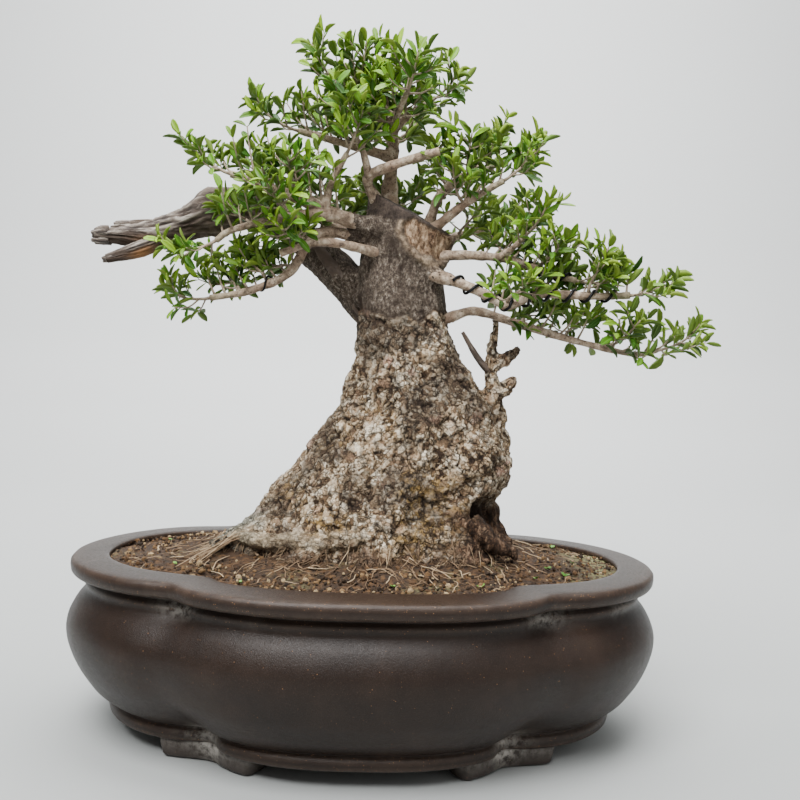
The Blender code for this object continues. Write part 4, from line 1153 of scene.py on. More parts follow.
def flakes(points, size, salt):
    """Tilted flat flakes: height from about -1 to 1, distance from the edge between flakes, and a value for
    each flake.
    """
    first, second, value, to_cell = cells(points, size, salt)
    spin = np.floor(value * 997)
    lean = np.stack([hashed(spin, spin + i, spin, salt + 11) - 0.5 for i in range(3)], 1)
    tilt = np.einsum("ij,ij->i", to_cell, lean) * 2.2
    return (value * 2 - 1) * 0.55 + tilt, second - first, value


def raised_bark(points):
    """The old bark's flakes and cracks: height in millimetres, a mask of painted shade in the cracks and on
    low plates, a shade with raised plates painted lighter and low ones darker (painted light and shade over a
    random tone for each plate), and each plate's value.
    """
    ragged = jagged(jagged(points, 15, 3.6, 31), 4.5, 1.6, 131)
    plate, plate_edge, value = flakes(ragged * (1, 1, 0.85), PLATE_SIZE, 5)
    flake, _, small_value = flakes(ragged * (1, 1, 0.9), FLAKE_SIZE, 21)
    height = rough_noise(points, 38, 3, 41) * 2.0 + plate * 1.5 + flake * 0.9
    height = height + rough_noise(points, 3.2, 1, 231) * 0.35
    height -= (1 - ramp(plate_edge, 0.0, 0.15)) * 1.3
    # Painted shade: the cracks between plates and the low plates are painted dark.
    crack_shade = (1 - ramp(plate_edge, 0.02, 0.14)) * 0.85
    crack_shade = np.clip(crack_shade + np.clip(-plate - 0.45, 0, 1) * 0.6, 0, 1)
    crack_shade = crack_shade * ramp(rough_noise(points, 22, 2, 233), -0.7, 0.1)
    # Painted light and shade: raised plates and flakes come out lighter and low ones darker, over a random
    # tone for each plate.
    shade = np.clip(0.42 + plate * 0.30 + flake * 0.25, 0, 1)
    return height, crack_shade, shade, np.where(small_value > 0.5, value, small_value)


def near_path(points, places, inner, outer):
    """How close points are to a path: 1 within the inner distance, 0 beyond the outer."""
    path = np.array([tuple(spot) for spot in smooth_path(places, 4)])
    near = np.min(np.linalg.norm(points[:, None, :] - path[None, ::2, :], axis=2), axis=1)
    return 1 - ramp(near, inner, outer)


def top_zones(points):
    """The sawn top, the scar at the front and the callus round it, each from 0 to 1."""
    x, y, height = points.T
    above = height - cut_height(points)
    sawn = ramp(above, -2.2, -0.8) * (1 - ramp(above, 3, 5))
    sawn = sawn * (np.linalg.norm(points[:, :2] - (22, 0), axis=1) < 40)
    facet = ramp(height - (431 + 0.010 * (x - 20) ** 2) + rough_noise(points, 16, 2, 72) * 2, 0, 2.5)
    facet = facet * ramp(-y, 8, 14) * (np.abs(x - 18) < 26) * (height > 400)
    sawn = np.maximum(sawn, facet)
    across = ((x - 46) / 28) ** 2 + ((height - 418 + (x - 46) * 0.25) / 24) ** 2
    across = across + rough_noise(points, 14, 3, 71) * 0.22
    front = ramp(-y, 2, 12) * (height > 385) * (1 - sawn)
    scar = (1 - ramp(across, 0.50, 0.62)) * front
    return sawn, scar, np.exp(-((across - 0.84) / 0.22) ** 2) * front * (1 - scar)


def foot_zones(points):
    """The pale root, the lichen and the fibrous wood near the soil, each from 0 to 1."""
    x, _, height = points.T
    fibre = ramp(x + rough_noise(points, 20, 2, 93) * 14, 48, 84) * (1 - ramp(height, 184, 206))
    fibre = np.maximum(fibre, (1 - ramp(height + rough_noise(points, 12, 3, 94) * 9, 156, 168)) * 0.85)
    pale = near_path(points, FRONT_ROOT, 7.0, 10.0) * 0.7
    lichen = ramp(-x + rough_noise(points, 14, 2, 95) * 10, 84, 104) * (1 - ramp(height, 176, 200))
    return pale, lichen, fibre * (1 - pale) * (1 - 0.7 * lichen)


def make_trunk():
    """The trunk: a fused body with roots and stump, raised into bark, in a low and a high piece."""
    points, faces, normals = remeshed(trunk_blank(), TRUNK_VOXEL)
    x, y, height = points.T
    stump = (np.linalg.norm(points[:, :2] - STUMP_CENTRE, axis=1) < 26) & (height > 262)
    on_limb = ramp(-x, 24, 34) * (height > 380)
    change = height + rough_noise(points, 13, 3, 51) * 8
    young = np.maximum(ramp(change, 346, 356) * ~stump, on_limb)
    collar = bell(change, 352, 2.0) * ~stump * (1 - on_limb)
    sawn, scar, callus = top_zones(points)
    pale, lichen, fibre = foot_zones(points)
    old_height, old_crack_shade, plate, value = raised_bark(points)
    grain = rough_noise(points * (1, 1, 0.30), 4.2, 3, 61)
    scales = flakes(jagged(points, 6, 1.4, 161) * (1, 1, 0.45), 3.4, 171)[0]
    young_height = grain * 0.7 + scales * 0.5 + rough_noise(points, 22, 2, 62) * 1.4 - 0.6

    raised = old_height * (1 - young) + young_height * young
    threads = rough_noise(points * (1, 1, 0.25), 5.5, 3, 181) * 2.6
    raised = raised * (1 - 0.75 * fibre) + threads * fibre
    raised *= 1 - 0.4 * pale
    raised *= ramp(height, SOIL_TRUNK_HEIGHT - 8, SOIL_TRUNK_HEIGHT + 4)
    raised = raised + collar * -1.5
    raised = raised * (1 - sawn) + rough_noise(points * (1, 0.3, 1), 5, 2, 81) * 0.4 * sawn
    raised = raised * (1 - scar) + (rough_noise(points * (1, 1, 0.5), 5, 3, 82) * 1.5 - 2.6) * scar
    raised = raised * (1 - 0.5 * callus) + (2.6 + rough_noise(points, 8, 2, 83) * 0.8) * callus

    # Painted shade: the cracks, the young bark's grooves and the collar's groove are painted dark.
    crack_shade = old_crack_shade * (1 - young) + ramp(-grain, 0.35, 0.9) * 0.7 * young
    crack_shade = np.maximum(crack_shade * (1 - 0.4 * fibre), collar * 0.85)
    crack_shade = crack_shade * (1 - scar) * (1 - sawn) * (1 - 0.6 * pale) * (1 - 0.5 * callus)
    # Painted shade for the hollow low on the right: this mask darkens the bark's colour there.
    direction = np.degrees(np.arctan2(y, x - 27)) % 360
    hollow = np.exp(-(angle_between(direction, HOLLOW_DEGREES - 4) / HOLLOW_WIDTH_DEGREES) ** 2
                    - ((height - HOLLOW_HEIGHT) / HOLLOW_TALL) ** 2)
    points = points + normals * raised[:, None]
    gloom = ramp(rough_noise(points, 34, 4, 191) + ramp(height, 230, 330) * 0.3, 0.0, 0.8) * 0.72
    ochre = ramp(rough_noise(points, 36, 2, 192), -0.1, 0.7) * (1 - ramp(height, 235, 300))
    # In these numbers, plate carries painted light and shade on the bark's plates; the cracks' mask and dark
    # carry painted shade.
    numbers = {"plate": plate, "young": young, "crack_shade": crack_shade, "scar": scar, "callus": callus, "sawn": sawn,
               "pale": pale, "dark": np.clip(hollow * 1.2, 0, 0.95), "fibre": fibre,
               "lichen": lichen * 0.85, "gloom": gloom, "ochre": ochre,
               "pink": ramp(value, 0.972, 0.980) * 0.6}
    paints = [bark_paint()]
    high_face = points[faces].mean(axis=1)[:, 2] > TRUNK_SPLIT_HEIGHT
    for name, share in (("trunk_bark_low", ~high_face), ("trunk_bark_high", high_face)):
        used, corners = np.unique(faces[share], return_inverse=True)
        thing = mesh_from(name, points[used], corners.reshape(-1, 4), paints)
        for number, values in numbers.items():
            attribute(thing, number, values[used])
        finished(thing, "wood", "trunk")


# Dead wood

def weathered(reach, turn, salt, depth):
    """Long grooves and ridges of weathered wood round a tube."""
    rows, sides = reach.shape
    around = np.broadcast_to(turn, reach.shape)
    length = np.arange(rows)[:, None] * np.ones(sides) * FINE_STEP
    twist = around + length * 0.012
    spots = np.stack([np.cos(twist) * 2.6, np.sin(twist) * 2.6, length / 38], -1).reshape(-1, 3)
    ridges = 1 - np.abs(rough_noise(spots, 0.62, 4, salt))
    hollow = rough_noise(spots, 1.9, 2, salt + 5)
    change = (ridges - 0.75) * depth + hollow * depth * 0.8
    return reach * (1 + change.reshape(reach.shape)), ridges.reshape(reach.shape)


def splinters(draw, path, reach, count):
    """Thin splinters that break the end of a dead limb: their paths and radii."""
    ahead = (path[-1] - path[-4]).normalized()
    side = side_vector(ahead)
    over = side.cross(ahead)
    found = []
    for i in range(count):
        turn = i * 2.4 + draw.uniform(-0.4, 0.4)
        away = reach * math.sqrt(draw.uniform(0.05, 1.0))
        spot = path[-1] + side * math.cos(turn) * away + over * math.sin(turn) * away - ahead * 12
        length = draw.uniform(12, 17)
        bend = ahead + side * draw.uniform(-0.10, 0.10) + over * draw.uniform(-0.10, 0.10)
        thick = draw.uniform(2.0, 3.6)
        found.append(([spot, spot + ahead * length * 0.5, spot + bend * length], (thick, thick, thick * 0.5)))
    return found


def dead_wood_pieces():
    """Each dead limb, splinter and twig: points, radii, sides and how deep its grooves are."""
    draw = random.Random(17)
    pieces = [(places, radii, 64, 0.26) for _, places, radii in DEAD_LIMBS]
    for (_, places, _), (reach, count) in zip(DEAD_LIMBS, SPLINTERED_ENDS):
        found = splinters(draw, smooth_path(places, FINE_STEP), reach, count)
        pieces += [(spots, values, 9, 0.25) for spots, values in found]
    return pieces + [(STUMP_TWIG, STUMP_TWIG_RADII, 18, 0.24)]


def make_dead_wood():
    """The silver limb to the left with its forks and splinters, and the dead twig on the stump."""
    heap = Heap()
    for number, (places, radii, sides, depth) in enumerate(dead_wood_pieces()):
        path, values = resampled([Vector(spot) for spot in places], radii, FINE_STEP)
        if len(path) > LONG_LIMB_POINTS:
            values = values * (1 + 0.09 * np.sin(np.arange(len(path)) * 0.33 + number))
        kept = {}

        def relief(reach, turn, salt=100 + number * 9, depth=depth, kept=kept):
            shaped, kept["ridges"] = weathered(reach, turn, salt, depth)
            return shaped

        points, quads, triangles = tube(path, values, sides, relief)
        middle = np.concatenate([np.repeat(np.array([spot.z for spot in path]), sides), [0, 0]])
        reach = np.concatenate([np.repeat(values, sides), [9, 9]])
        # Painted shade: how far below the limb's middle a point lies, to darken the undersides.
        under = ramp(-(points[:, 2] - middle) / reach, -0.2, 0.45)
        under[-2:] = 0
        grain = np.concatenate([np.clip((kept["ridges"].reshape(-1) - 0.45) * 1.6, 0, 1), [0.3, 0.3]])
        outer = ramp(-points[:, 0], 128, 176)
        rust = bell(points[:, 0], -203, 9) * under * (0.8 if number == 1 else 0.2)
        heap.add(points, quads=quads, triangles=triangles, grain=grain * (0.55 + 0.45 * outer),
                 under=under * (0.25 + 0.75 * outer) if number < len(DEAD_LIMBS) else 0.0,
                 rust=rust, brown=1 - outer)
    return heap.finish("dead_wood", [dead_wood_paint()], "wood", "trunk")


# Living branches and wires

def knotty(reach, salt):
    """Nodes and small swellings along a branch."""
    rows = reach.shape[0]
    spots = np.stack([np.arange(rows) * FINE_STEP / 7.0, np.full(rows, salt * 3.7), np.zeros(rows)], 1)
    swell = rough_noise(spots, 1.0, 3, salt)
    return reach * (1 + 0.13 * swell[:, None])


def make_branches():
    """Every living branch in one piece, swollen at its root and at its nodes."""
    heap = Heap()
    for number, (_, places, first, last, sprays, _) in enumerate(BRANCHES):
        path = smooth_path(places, BRANCH_STEP)
        radii = [first + (last - first) * share for share in path_shares(path)]
        fine, values = resampled(path, radii, FINE_STEP)
        shares = np.array(path_shares(fine))
        values = values * (1 + 0.55 * np.exp(-shares * 12))
        ring_shares = np.concatenate([np.repeat(shares, BRANCH_SIDES), [0, 1]])
        fresh = ramp(ring_shares, 0.75, 1.0) * (0.35 if sprays else 0)
        cut = ramp(ring_shares, 0.985, 1.0) * (0 if sprays else 1)
        heap.add_tube(fine, values, BRANCH_SIDES, lambda reach, _, salt=200 + number: knotty(reach, salt),
                      fresh=fresh, cut=cut)
    return heap.finish("living_branches", [branch_paint()], "wood", "trunk")


def coil_points(path, first, last, start, end, wire_radius):
    """The middle line of a wire wound on a branch."""
    total = sum((b - a).length for a, b in zip(path, path[1:]))
    turns = total * (end - start) / WIRE_PITCH
    count = round(turns * WIRE_POINTS_PER_TURN)
    points = []
    for i in range(count + 1):
        share = start + (end - start) * i / count
        spot, direction = along(path, share)
        before = along(path, max(0, share - 0.02))[1]
        after = along(path, min(1, share + 0.02))[1]
        direction = (direction + before + after).normalized()
        side = side_vector(direction)
        over = side.cross(direction)
        reach = first + (last - first) * share + GAP * 0.4 + wire_radius
        turn = 2 * math.pi * i / WIRE_POINTS_PER_TURN
        points.append(spot + (side * math.cos(turn) + over * math.sin(turn)) * reach)
    return points


def make_wires():
    """The black training wires."""
    finish = wire_paint()
    for name, branch, start, end, radius in WIRES:
        _, places, first, last, *_ = next(row for row in BRANCHES if row[0] == branch)
        points = coil_points(smooth_path(places, BRANCH_STEP), first, last, start, end, radius)
        heap = Heap()
        heap.add_tube(points, [radius] * len(points), WIRE_SIDES)
        heap.finish(name + "_coil", [finish], "wire", name)


# Leaves

LEAF_STATIONS = np.array((0, 0.10, 0.25, 0.50, 0.78, 0.94, 1.0))
LEAF_COLUMNS = 5
PETIOLE = 0.09


def leaf_mesh(fold, curl, round_tip):
    """A leaf of unit length: closed upper and lower skins, with a number for how far across."""
    share = LEAF_STATIONS
    rows = len(share)
    blade = np.clip((share - PETIOLE) / (1 - PETIOLE), 0, 1) ** 1.2
    half = 0.5 * np.maximum((1 - np.abs(2 * blade - 1) ** 2.4) ** round_tip, 0.10)
    half[-1] = 0.14
    across = np.linspace(-1, 1, LEAF_COLUMNS)
    x = half[:, None] * across[None, :]
    y = np.repeat(share[:, None], LEAF_COLUMNS, 1)
    z = -curl * share[:, None] ** 2 + fold * np.abs(x)
    thick = 0.020 * (1 - across[None, :] ** 2) * np.ones((rows, 1))
    upper = np.stack([x, y, z + thick], -1).reshape(-1, 3)
    lower = np.stack([x, y, z - thick], -1).reshape(-1, 3)
    inner = [row * LEAF_COLUMNS + column for row in range(rows) for column in range(1, LEAF_COLUMNS - 1)]
    under_corner = np.arange(rows * LEAF_COLUMNS)
    under_corner[inner] = rows * LEAF_COLUMNS + np.arange(len(inner))
    top = grid_faces(rows, LEAF_COLUMNS, closed=False)
    under = under_corner[top][:, ::-1]
    closing = []
    for row, order in ((0, 1), (rows - 1, -1)):
        line = row * LEAF_COLUMNS + np.arange(LEAF_COLUMNS)
        for a, b in zip(line, line[1:]):
            corners = (a, under_corner[a], under_corner[b], b)[::order]
            closing.append(list(dict.fromkeys(int(corner) for corner in corners)))
    triangles = np.array([face for face in closing if len(face) == 3])
    fours = np.array([face for face in closing if len(face) == 4])
    quads = np.concatenate([top, under, fours])
    slots = (np.arange(len(quads)) >= len(top)).astype(int)
    points = np.concatenate([upper, lower[inner]])
    reach = np.abs(np.concatenate([np.tile(across, rows), np.tile(across[1:-1], rows)]))
    return points, quads, triangles, slots, reach


LEAF_KINDS = [leaf_mesh(fold, curl, round_tip)
              for fold, curl, round_tip in ((0.26, 0.10, 0.62), (0.40, 0.20, 0.70), (0.18, -0.05, 0.58),
                                            (0.46, 0.28, 0.66), (0.32, 0.03, 0.74))]


def leaf_frame(direction, face):
    """The turn that puts a leaf along a direction with its upper side towards a face."""
    across = direction.cross(face).normalized()
    normal = across.cross(direction).normalized()
    return np.array(Matrix((across, direction, normal)).transposed())


def add_leaf(heap, draw, spot, direction, face, length, young):
    """Add one leaf to a spray."""
    points, quads, triangles, slots, across = LEAF_KINDS[draw.randrange(len(LEAF_KINDS))]
    width = length * draw.uniform(0.31, 0.44)
    placed = (points * (width, length, length * 0.8)) @ leaf_frame(direction, face).T + np.array(spot)
    heap.add(placed, quads=quads, triangles=triangles, slots=slots, tint=draw.random() ** 1.15, young=young,
             across=across)


def add_pair(heap, draw, path, share, turn, size, young=0.0):
    """Two opposite leaves on a twig, their upper sides turned up and away from the trunk."""
    spot, direction = along(path, share)
    side = side_vector(direction)
    over = side.cross(direction)
    across = side * math.cos(turn) + over * math.sin(turn)
    outward = Vector((spot.x - 20, spot.y, 0)).normalized()
    for sign in (1, -1):
        spread = math.radians(draw.uniform(*LEAF_ANGLE_DEGREES))
        heading = direction * math.cos(spread) + across * sign * math.sin(spread)
        heading = (heading + UP * draw.uniform(-0.10, 0.25)).normalized()
        face = direction * 0.35 + UP * 0.55 + outward * 0.55
        face = face + Vector([draw.uniform(-0.45, 0.45) for _ in range(3)])
        face = (face - heading * face.dot(heading)).normalized()
        length = draw.uniform(*LEAF_LENGTH) * size
        add_leaf(heap, draw, spot, heading, face, length, young)


def twig_for(number, attempt, path, radius, share, order):
    """The twig that the construction's rule draws at one try."""
    draw = random.Random(number * 101 + attempt)
    shift = attempt // TRIES_AT_ONE_PLACE * PLACE_STEP * (-1) ** attempt
    spot, direction = along(path, share + shift if order else 1)
    side = side_vector(direction)
    over = side.cross(direction)
    if order == 0:
        square_on = direction
        heading = (direction + UP * TIP_RISE).normalized()
        radius = 0
    else:
        sign = 1 if order % 2 else -1
        lean = math.radians(SIDE_LEAN_DEGREES) + attempt * SIDE_LEAN_STEP
        square_on = (side * sign * math.cos(lean) + over * math.sin(lean)).normalized()
        heading = (direction * SIDE_FORWARD + square_on).normalized()
    length = draw.uniform(*TWIG_LENGTH)
    first = spot + square_on * (radius + GAP)
    second = first + square_on * TWIG_STEM
    third = second + (heading + square_on * 0.3).normalized() * (length / 2)
    last = third + (heading + UP * TWIG_RISE).normalized() * (length / 2)
    return [first, second, third, last]


def twig_on_node(node, number, path, radius, share, order):
    """The main twig of a spray's node: the try whose root and tip both lie on the node."""
    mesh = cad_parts[node].data
    points = np.empty(len(mesh.vertices) * 3, dtype=np.float32)
    mesh.vertices.foreach_get("co", points)
    points = (points.reshape(-1, 3) - CENTRE) / MM
    best = None
    for attempt in range(SPRAY_TRIES):
        twig = twig_for(number, attempt, path, radius, share, order)
        misses = [np.min(np.linalg.norm(points - np.array(end), axis=1)) for end in (twig[0], twig[-1])]
        if best is None or sum(misses) < best[0]:
            best = (sum(misses), twig)
    return best[1]


def side_twig_path(draw, path, share, sign, length):
    """A short twig from the main twig's side."""
    spot, direction = along(path, share)
    side = side_vector(direction)
    over = side.cross(direction)
    lift = draw.uniform(-0.8, 0.8)
    heading = (direction * 0.55 + (side * sign + over * lift).normalized()).normalized()
    middle = spot + heading * length * 0.5
    end = middle + (heading + UP * 0.45).normalized() * length * 0.5
    return [spot, middle, end]


def add_twig(heap, draw, points, radii, young, stations, fresh_from, fresh_gain, fresh_most, smaller):
    """A short leafy twig: its stem and pairs of leaves, younger and smaller towards the tip."""
    fine, values = resampled(points, radii, 5)
    heap.add_tube(fine, values, 6, slots=TWIG_SLOT, tint=0.5, young=young, across=1.0)
    for i, station in enumerate(stations):
        fresh = max(0.0, station - fresh_from) * fresh_gain * draw.uniform(0.0, fresh_most)
        turn = math.pi / 4 + i * math.pi / 2 + draw.uniform(-0.5, 0.5)
        size = 0.95 - smaller * station * draw.random()
        add_pair(heap, draw, points, station, turn, size, min(1.0, fresh))


def make_spray(node, number, path, radius, share, order, paints):
    """One leafy twig: the construction's twig and leaves, with finer side twigs and more leaves."""
    twig = twig_on_node(node, number, path, radius, share, order)
    draw = random.Random(9000 + number)
    heap = Heap()
    root = twig[0] - (twig[1] - twig[0]).normalized() * TWIG_SUNK
    fine, values = resampled([root] + twig[1:], (TWIG_RADIUS * 1.3, TWIG_RADIUS, 1.0, 0.7), 4)
    heap.add_tube(fine, values, 7, slots=TWIG_SLOT, tint=0.5, young=0.0, across=1.0)
    for i, spot in enumerate(MAIN_STATIONS):
        fresh = max(0.0, (spot - 0.6) / 0.4) * draw.uniform(0.1, 1.0)
        turn = math.pi / 4 + i * math.pi / 2 + draw.uniform(-0.4, 0.4)
        add_pair(heap, draw, twig, spot, turn, 1.0 - 0.34 * spot * draw.random(), fresh)
    sign = draw.choice((-1, 1))
    for spot in SIDE_TWIG_PLACES:
        length = draw.uniform(17, 31) * (1.15 - 0.45 * spot)
        add_twig(heap, draw, side_twig_path(draw, twig, spot, sign, length), **SIDE_TWIG)
        sign = -sign
    return heap.finish(node + "_leaves", paints, "leaves", node)


def shoot_path(draw, name, spot, direction, side, radius):
    """A short shoot's path from a branch, kept behind the branch where a wire shows."""
    heading = direction * draw.uniform(0.1, 0.7) + side * draw.uniform(0.2, 1.0)
    heading = heading + UP * draw.uniform(-0.35, 1.1)
    if name in [branch for _, branch, *_ in WIRES]:
        heading = Vector((heading.x, abs(heading.y), abs(heading.z) + 0.3))
    heading.normalize()
    reach = draw.uniform(14, 34)
    if name in TALL_SHOOTS:
        heading = (heading + UP * draw.uniform(0.6, 1.4)).normalized()
        reach = draw.uniform(24, 48)
    root = spot + heading * radius * 0.6
    middle = root + heading * reach * 0.5
    return [root, middle, middle + (heading + UP * 0.5).normalized() * reach * 0.5]


def make_shoots(paints):
    """Short leafy shoots from the branches between the sprays."""
    draw = random.Random(505)
    heap = Heap()
    for name, points, first, last, count, start in BRANCHES:
        if not count:
            continue
        path = smooth_path(points, BRANCH_STEP)
        length = sum((b - a).length for a, b in zip(path, path[1:]))
        share = max(0.25, start - 0.12)
        sign = draw.choice((-1, 1))
        while share < 0.99:
            spot, direction = along(path, share)
            side = side_vector(direction) * sign
            twig = shoot_path(draw, name, spot, direction, side, first + (last - first) * share)
            add_twig(heap, draw, twig, **SHOOT)
            share += draw.uniform(6.5, 10.5) / length
            sign = -sign
    heap.finish("leafy_shoots", paints, "leaves")


def make_sprays():
    """Every leafy twig on its branch."""
    top = leaf_paint("leaf_upper", (0.014, 0.062, 0.004), (0.054, 0.165, 0.006), (0.140, 0.31, 0.010),
                     (0.30, 0.47, 0.018), 0.42)
    under = leaf_paint("leaf_under", (0.040, 0.085, 0.012), (0.088, 0.160, 0.020), (0.165, 0.255, 0.030),
                       (0.28, 0.39, 0.042), 0.55)
    paints = [top, under, plain_paint("twig_bark", (0.19, 0.14, 0.095), (0.35, 0.28, 0.20), 300, 0.7)]
    number = 0
    for _, points, first, last, count, start in BRANCHES:
        path = smooth_path(points, BRANCH_STEP)
        for order in range(count):
            number += 1
            node = f"spray_{number:02d}"
            share = 1 if count == 1 else 1 - (1 - start) * order / (count - 1)
            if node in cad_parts:
                radius = first + (last - first) * share
                make_spray(node, number, path, radius, share, order, paints)
    make_shoots(paints)


# Soil

def grain_mesh():
    """A rough grain of unit size from a subdivided ball of twenty faces."""
    golden = (1 + math.sqrt(5)) / 2
    corners = []
    for a, b in ((-1, golden), (1, golden), (-1, -golden), (1, -golden)):
        corners += [(a, b, 0), (0, a, b), (b, 0, a)]
    points = np.array(corners, dtype=float)
    points /= np.linalg.norm(points[0])
    side = np.min([np.linalg.norm(points[0] - other) for other in points[1:]])
    near = np.linalg.norm(points[:, None] - points[None], axis=2) < side * 1.1
    triangles = []
    for i in range(12):
        for j in range(i + 1, 12):
            for k in range(j + 1, 12):
                if near[i, j] and near[j, k] and near[i, k]:
                    outward = np.dot(np.cross(points[j] - points[i], points[k] - points[i]), points[i]) > 0
                    triangles.append((i, j, k) if outward else (i, k, j))
    return points, np.array(triangles)


def soil_height(points):
    """The smooth mound's height over points in plan, without its grains."""
    angle = np.arctan2(points[:, 1], points[:, 0])
    reach = np.linalg.norm(points[:, :2], axis=1)
    edge = plan_radius(angle, *SOIL_EDGE)
    ring = trunk_skin(angle, np.full(len(points), float(SOIL_TRUNK_HEIGHT)))
    inner = np.linalg.norm(ring[:, :2], axis=1)
    share = np.clip((edge - reach) / np.maximum(edge - inner, 1), 0, 1.3)
    low = SOIL_EDGE_HEIGHT + (SOIL_MID_HEIGHT - SOIL_EDGE_HEIGHT) * share * 2
    high = SOIL_MID_HEIGHT + (SOIL_TRUNK_HEIGHT - SOIL_MID_HEIGHT) * (share * 2 - 1)
    return np.where(share < 0.5, low, high) + 1.0


def soil_ring(angle, inset=0):
    """The soil's inner edge at the trunk and its outer edge at the pot, in plan."""
    edge = plan_radius(angle, *SOIL_EDGE, inset)
    ring = trunk_skin(angle, np.full(len(angle), float(SOIL_TRUNK_HEIGHT)))
    return ring[:, :2], np.stack([edge * np.cos(angle), edge * np.sin(angle)], 1)


def add_soil_surface(heap):
    """The mound, crumbled into grains of two sizes, with moss in patches and towards the right."""
    inner, outer = soil_ring(np.arange(SOIL_COLUMNS) * 2 * np.pi / SOIL_COLUMNS)
    inner = inner * 0.93
    rows = [inner + (outer - inner) * (row / (SOIL_ROWS - 1)) for row in range(SOIL_ROWS)]
    points = np.concatenate(rows)
    points = np.concatenate([points, np.zeros((len(points), 1))], 1)
    points[:, 2] = soil_height(points)
    first, _, value, _ = cells(jagged(points * (1, 1, 0.3), 5, 1.2, 341), 3.8, 301)
    small = cells(points * (1, 1, 0.3), 1.9, 311)
    points[:, 2] += (1 - first) * (0.4 + 1.7 * value) + rough_noise(points, 26, 3, 321) * 1.5 - 1.2
    points[:, 2] += (1 - small[0]) * 0.8
    grain = np.clip(value * 0.40 + small[2] * 0.35 + (1 - first) * 0.15 - 0.14, 0, 1)
    moss = ramp(rough_noise(points, 34, 3, 331), 0.25, 0.9) * 0.45
    moss = np.clip(moss + bell(points[:, 0], 200, 20) * (points[:, 1] > -60) * 0.8, 0, 1)
    skirt = points[-SOIL_COLUMNS:] - (0, 0, 10)
    base = points[:SOIL_COLUMNS] - (0, 0, 14)
    pad = np.zeros(SOIL_COLUMNS)
    heap.add(np.concatenate([base, points, skirt]), quads=grid_faces(SOIL_ROWS + 2, SOIL_COLUMNS)[:, ::-1],
             grain=np.concatenate([pad, grain, pad]), moss=np.concatenate([pad, moss, pad]))


def add_soil_grains(heap):
    """Loose grains and a few pebbles on the mound."""
    unit, triangles = grain_mesh()
    draw = np.random.default_rng(77)
    direction = draw.uniform(0, 2 * np.pi, GRAIN_COUNT)
    far = np.sqrt(draw.uniform(0, 1, GRAIN_COUNT))
    inside, outside = soil_ring(direction, 2)
    inside = inside * 0.98
    spots = inside + (outside - inside) * far[:, None]
    spots = np.concatenate([spots, np.zeros((GRAIN_COUNT, 1))], 1)
    heights = soil_height(spots) + rough_noise(spots, 26, 3, 321) * 1.5
    sizes = draw.gamma(2.2, 0.34, GRAIN_COUNT) + 0.40
    for spot, height, size in zip(spots, heights, sizes):
        stretch = draw.uniform(0.6, 1.25, 3)
        lumps = 1 + draw.uniform(-0.22, 0.22, (12, 1))
        turn = np.array(Matrix.Rotation(draw.uniform(0, 6.28), 3, Vector(draw.normal(size=3))))
        body = (unit * lumps * stretch) @ turn.T * size
        body += (spot[0], spot[1], height + size * draw.uniform(-0.1, 0.6))
        tone = draw.uniform(0.0, 1.0) ** 1.5 if size < PEBBLE_SIZE else draw.uniform(0.45, 1.0)
        heap.add(body, triangles=triangles, grain=tone, moss=0.0)


def make_soil():
    """The soil with its grains, and the rootlets and seedlings on it."""
    heap = Heap()
    add_soil_surface(heap)
    add_soil_grains(heap)
    heap.finish("soil_grains", [soil_paint()], "soil", "soil", smooth=False)
    make_rootlets()
    make_seedlings()


def loose_root(draw):
    """The path of one fine root lying on the soil, or nothing where it would reach past the soil."""
    angle = draw.uniform(0, 2 * math.pi)
    ring = trunk_skin(np.array([angle]), np.array([float(SOIL_TRUNK_HEIGHT)]))[0]
    edge = float(plan_radius(angle, *SOIL_EDGE))
    reach = draw.uniform(0, 1) ** 2.2
    rim = Vector((edge * math.cos(angle), edge * math.sin(angle), 0))
    spot = Vector((ring[0], ring[1], 0)).lerp(rim, 0.04 + 0.86 * reach)
    heading = draw.uniform(0, 2 * math.pi)
    length = draw.uniform(8, 30)
    path = []
    for _ in range(ROOT_STEPS):
        heading += draw.uniform(-0.55, 0.55)
        spot = spot + Vector((math.cos(heading), math.sin(heading), 0)) * length / ROOT_STEPS
        path.append(tuple(spot))
    path = np.array(path)
    path[:, 2] = soil_height(path) + 1.1
    path[:, 2] += 1.4 * np.sin(np.linspace(0, math.pi, ROOT_STEPS)) * draw.random() - 0.3
    inside = plan_radius(np.arctan2(path[:, 1], path[:, 0]), *SOIL_EDGE, 4)
    if np.any(np.linalg.norm(path[:, :2], axis=1) > inside):
        return None
    return [Vector(point) for point in path]


def hanging_roots(draw):
    """Roots down the trunk's foot, and roots spread on the soil at its left: three points and a shade."""
    found = []
    for _ in range(HANGING_ROOTS):
        turn = draw.uniform(190, 350)
        lower = turn + draw.uniform(-9, 9)
        ends = ((turn, draw.uniform(156.0, 172.0)), (lower, float(SOIL_TRUNK_HEIGHT)))
        top, foot = (trunk_skin(np.array([math.radians(degrees)]), np.array([level]))[0]
                     for degrees, level in ends)
        outward = Vector((math.cos(math.radians(turn)), math.sin(math.radians(turn)), 0))
        start = Vector(top) + outward
        end = Vector(foot) + outward * draw.uniform(2, 7)
        bend = start.lerp(end, 0.5) + outward * draw.uniform(0.5, 2.5)
        found.append(([start, bend, end], draw.random() ** 3))
    for _ in range(SPREAD_ROOTS):
        start = Vector((draw.uniform(-118, -96), draw.uniform(-56, -34), draw.uniform(162, 170)))
        end = Vector((draw.uniform(-152, -126), draw.uniform(-70, -26), 0))
        end.z = soil_height(np.array([tuple(end)]))[0] + 0.8
        bend = start.lerp(end, 0.55) + Vector((0, 0, draw.uniform(-2.5, 1.5)))
        found.append(([start, bend, end], draw.uniform(0.55, 1.0)))
    return found


def add_root(heap, path, thick, shade):
    """A fine root that thins towards its end."""
    heap.add_tube(path, thick * (1 - 0.6 * np.linspace(0, 1, len(path))), 5, shade=shade)


